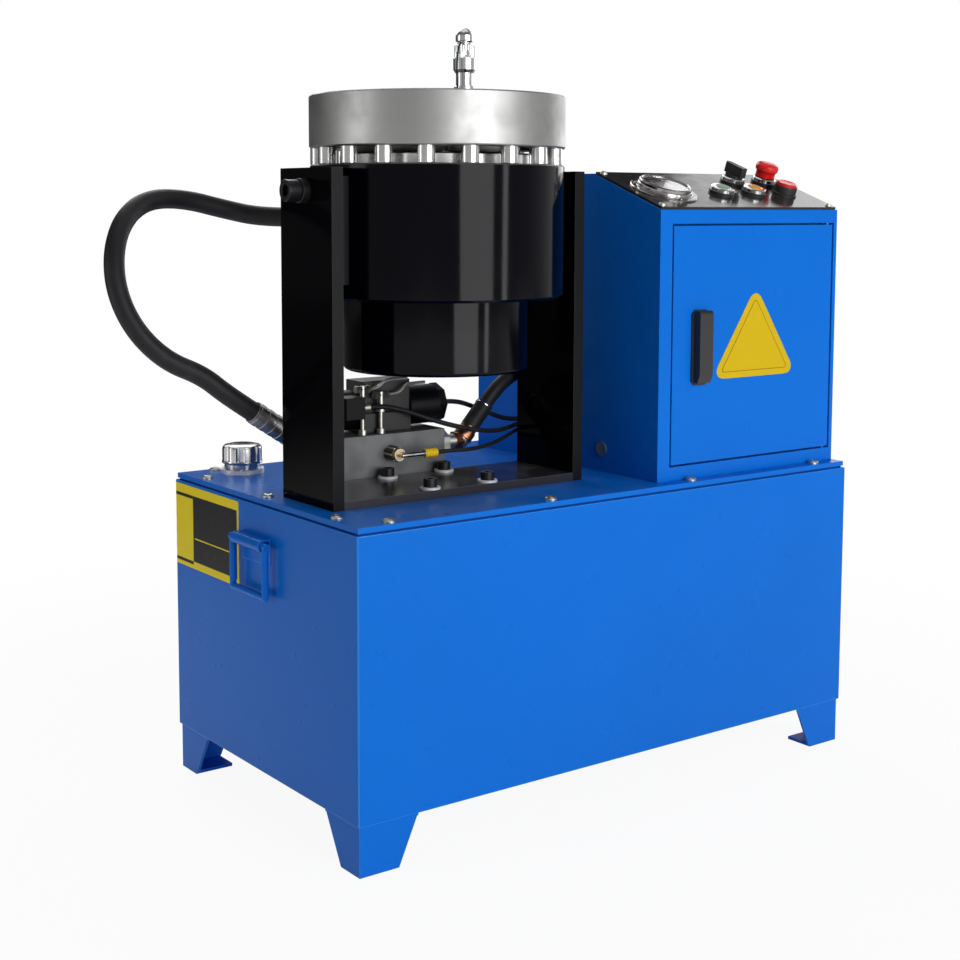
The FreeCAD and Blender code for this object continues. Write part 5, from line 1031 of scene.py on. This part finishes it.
# %% Cabinet, door and lock
# The rounded edges of the cabinet and the door take the lighter blue, a painted highlight.
for node, width in {"cabinet_shell": 1.8, "door": 1.3}.items():
    piece = wear(dressed(node, blue_enamel, "blue_paint", width, 3), edge_highlight_enamel, rolled_edge)
    print(piece.name, len(piece.data.polygons), "faces")
for node, width in {"lock_plate": 0.8, "lock_lever": 1.6}.items():
    dressed(node, switch_black, "switch_plastic", width, 3)

# %% [markdown]
# Under the head sit the steel manifold block with its valve and two coils, and the fittings of the lines.
# The fittings are bar stock: hexagons and grooved sleeves. The solids already have these shapes, so only
# what they lack is laid over them: crimp rings, the copper elbow, the brass ring and the yellow sleeve.

# %% Valve, fittings and their sleeves
for node, width, skin, slot in (("valve_block", 0.8, valve_steel, "cast"),
                                ("valve_body", 1.0, black_casting, "cast"),
                                ("valve_coils", 1.4, coil_black, "coil_plastic"),
                                ("line_fittings", 0.4, zinc, "zinc"), ("drain_plug", 0.6, zinc, "zinc")):
    dressed(node, skin, slot, width)


def crimp(start, end, radius, rise=0.5, ridges=5):
    """The steps of a sleeve pressed on in rings."""
    steps = [(radius, start)]
    for ridge in range(ridges):
        low = start + (end - start) * (ridge + 0.12) / ridges
        high = start + (end - start) * (ridge + 0.78) / ridges
        steps += [(radius, low), (radius + rise, low + 0.6), (radius + rise, high - 0.6), (radius, high)]
    return steps + [(radius, end)]


LEFT_BALL, LEFT_WAY = (-291, 25, 420), (-0.8367, 0, 0.5478)
RIGHT_BALL, RIGHT_WAY = (-84, 12, 414), (0.669, 0, 0.743)
HEAD_PORT, HEAD_TURN = (-172.5, -65, 690), math.radians(125)
HEAD_WAY = (math.cos(HEAD_TURN), math.sin(HEAD_TURN), 0)
GAUGE_PORT, GAUGE_BEND = (-200, 0, 411), (-200, -34, 411)
FORWARD, RIGHT = (0, -1, 0), (1, 0, 0)
crimped = [turned(crimp(29, 89.5, 12.9), LEFT_BALL, LEFT_WAY),
           turned(crimp(161, 191.5, 13.7, 0.5, 3), HEAD_PORT, HEAD_WAY)]
seat(join(crimped), "crimped_sleeves", tool_steel)
sleeve = turned([(10.8, 20), (11.2, 21), (11.2, 57), (10.8, 58)], RIGHT_BALL, RIGHT_WAY)
seat(sleeve, "pump_hose_sleeve", hose_rubber)
hose_ring = turned([(11.4, 53), (11.7, 53.4), (11.7, 54.4), (11.4, 54.8)], RIGHT_BALL, RIGHT_WAY)
seat(hose_ring, "pump_hose_ring", chrome)
elbow = [turned([(11.6, 3), (12.2, 4), (12.2, 15), (11.6, 16), (10.9, 16.2), (10.9, 20)],
                RIGHT_BALL, RIGHT_WAY),
         turned([(9.5, 0), (12.2, 0.4), (12.2, 9.4), (11.6, 10)], (-94.5, 12, 414), RIGHT, sides=6)]
seat(join(elbow), "copper_elbow", copper)
ring = turned([(7.6, 22), (8.0, 22.4), (8.0, 26), (7.4, 27.8), (5.4, 28.1)], GAUGE_PORT, FORWARD)
seat(ring, "brass_ring", brass)
nut = turned([(9.4, 6.3), (9.6, 6.8), (9.6, 21.4), (9.2, 22)], GAUGE_PORT, FORWARD, sides=6)
seat(nut, "black_nut", switch_black)
ferrule = turned(crimp(30.5, 47.5, 4.9, 0.5, 4), GAUGE_BEND, RIGHT, sides=32)
seat(ferrule, "yellow_sleeve", yellow_plastic)
seat(turned([(2.75, 5), (2.75, 30)], GAUGE_BEND, RIGHT, sides=24), "bright_tube", chrome)

SENSING_PIPES = [[(-197, 3, 480), (-186, 3, 480), (-178, 3, 483), (-171, 4, 490), (-160, 5, 491),
                  (-142, 6, 491)],
                 [(-222, 4, 488), (-216, 4, 488), (-209, 3, 490), (-202, 2, 497), (-190, 2, 498),
                  (-170, 3, 498)]]
tees = []
for x, y, top in ((-232, 4, 492), (-207, 3, 484)):
    tees.append(turned([(5.2, 434), (5.2, 440), (2.6, 440.3), (2.6, top - 24), (5.6, top - 23.8),
                        (5.6, top - 18), (3.4, top - 17.8), (3.4, top)], (x, y, 0), sides=24))
    tees.append(turned([(4.8, -10), (4.8, -5), (3.4, -4.9), (3.4, 4.9), (4.8, 5), (4.8, 10)],
                       (x, y, top - 4), RIGHT, sides=6))
tees += [pipe(points, 2.0) for points in SENSING_PIPES]
seat(join(tees), "sensing_line_tees", zinc)

octagons = []
for x in (-272, -112):
    octagons.append(turned([(23.4, -6), (25, -4.6), (25, 4.6), (23.4, 6)], (x, 31, 461), RIGHT, sides=8))
seat(join(octagons), "coil_end_caps", coil_black, smooth=20)
print("sleeves and tees:", len(crimped), len(tees))
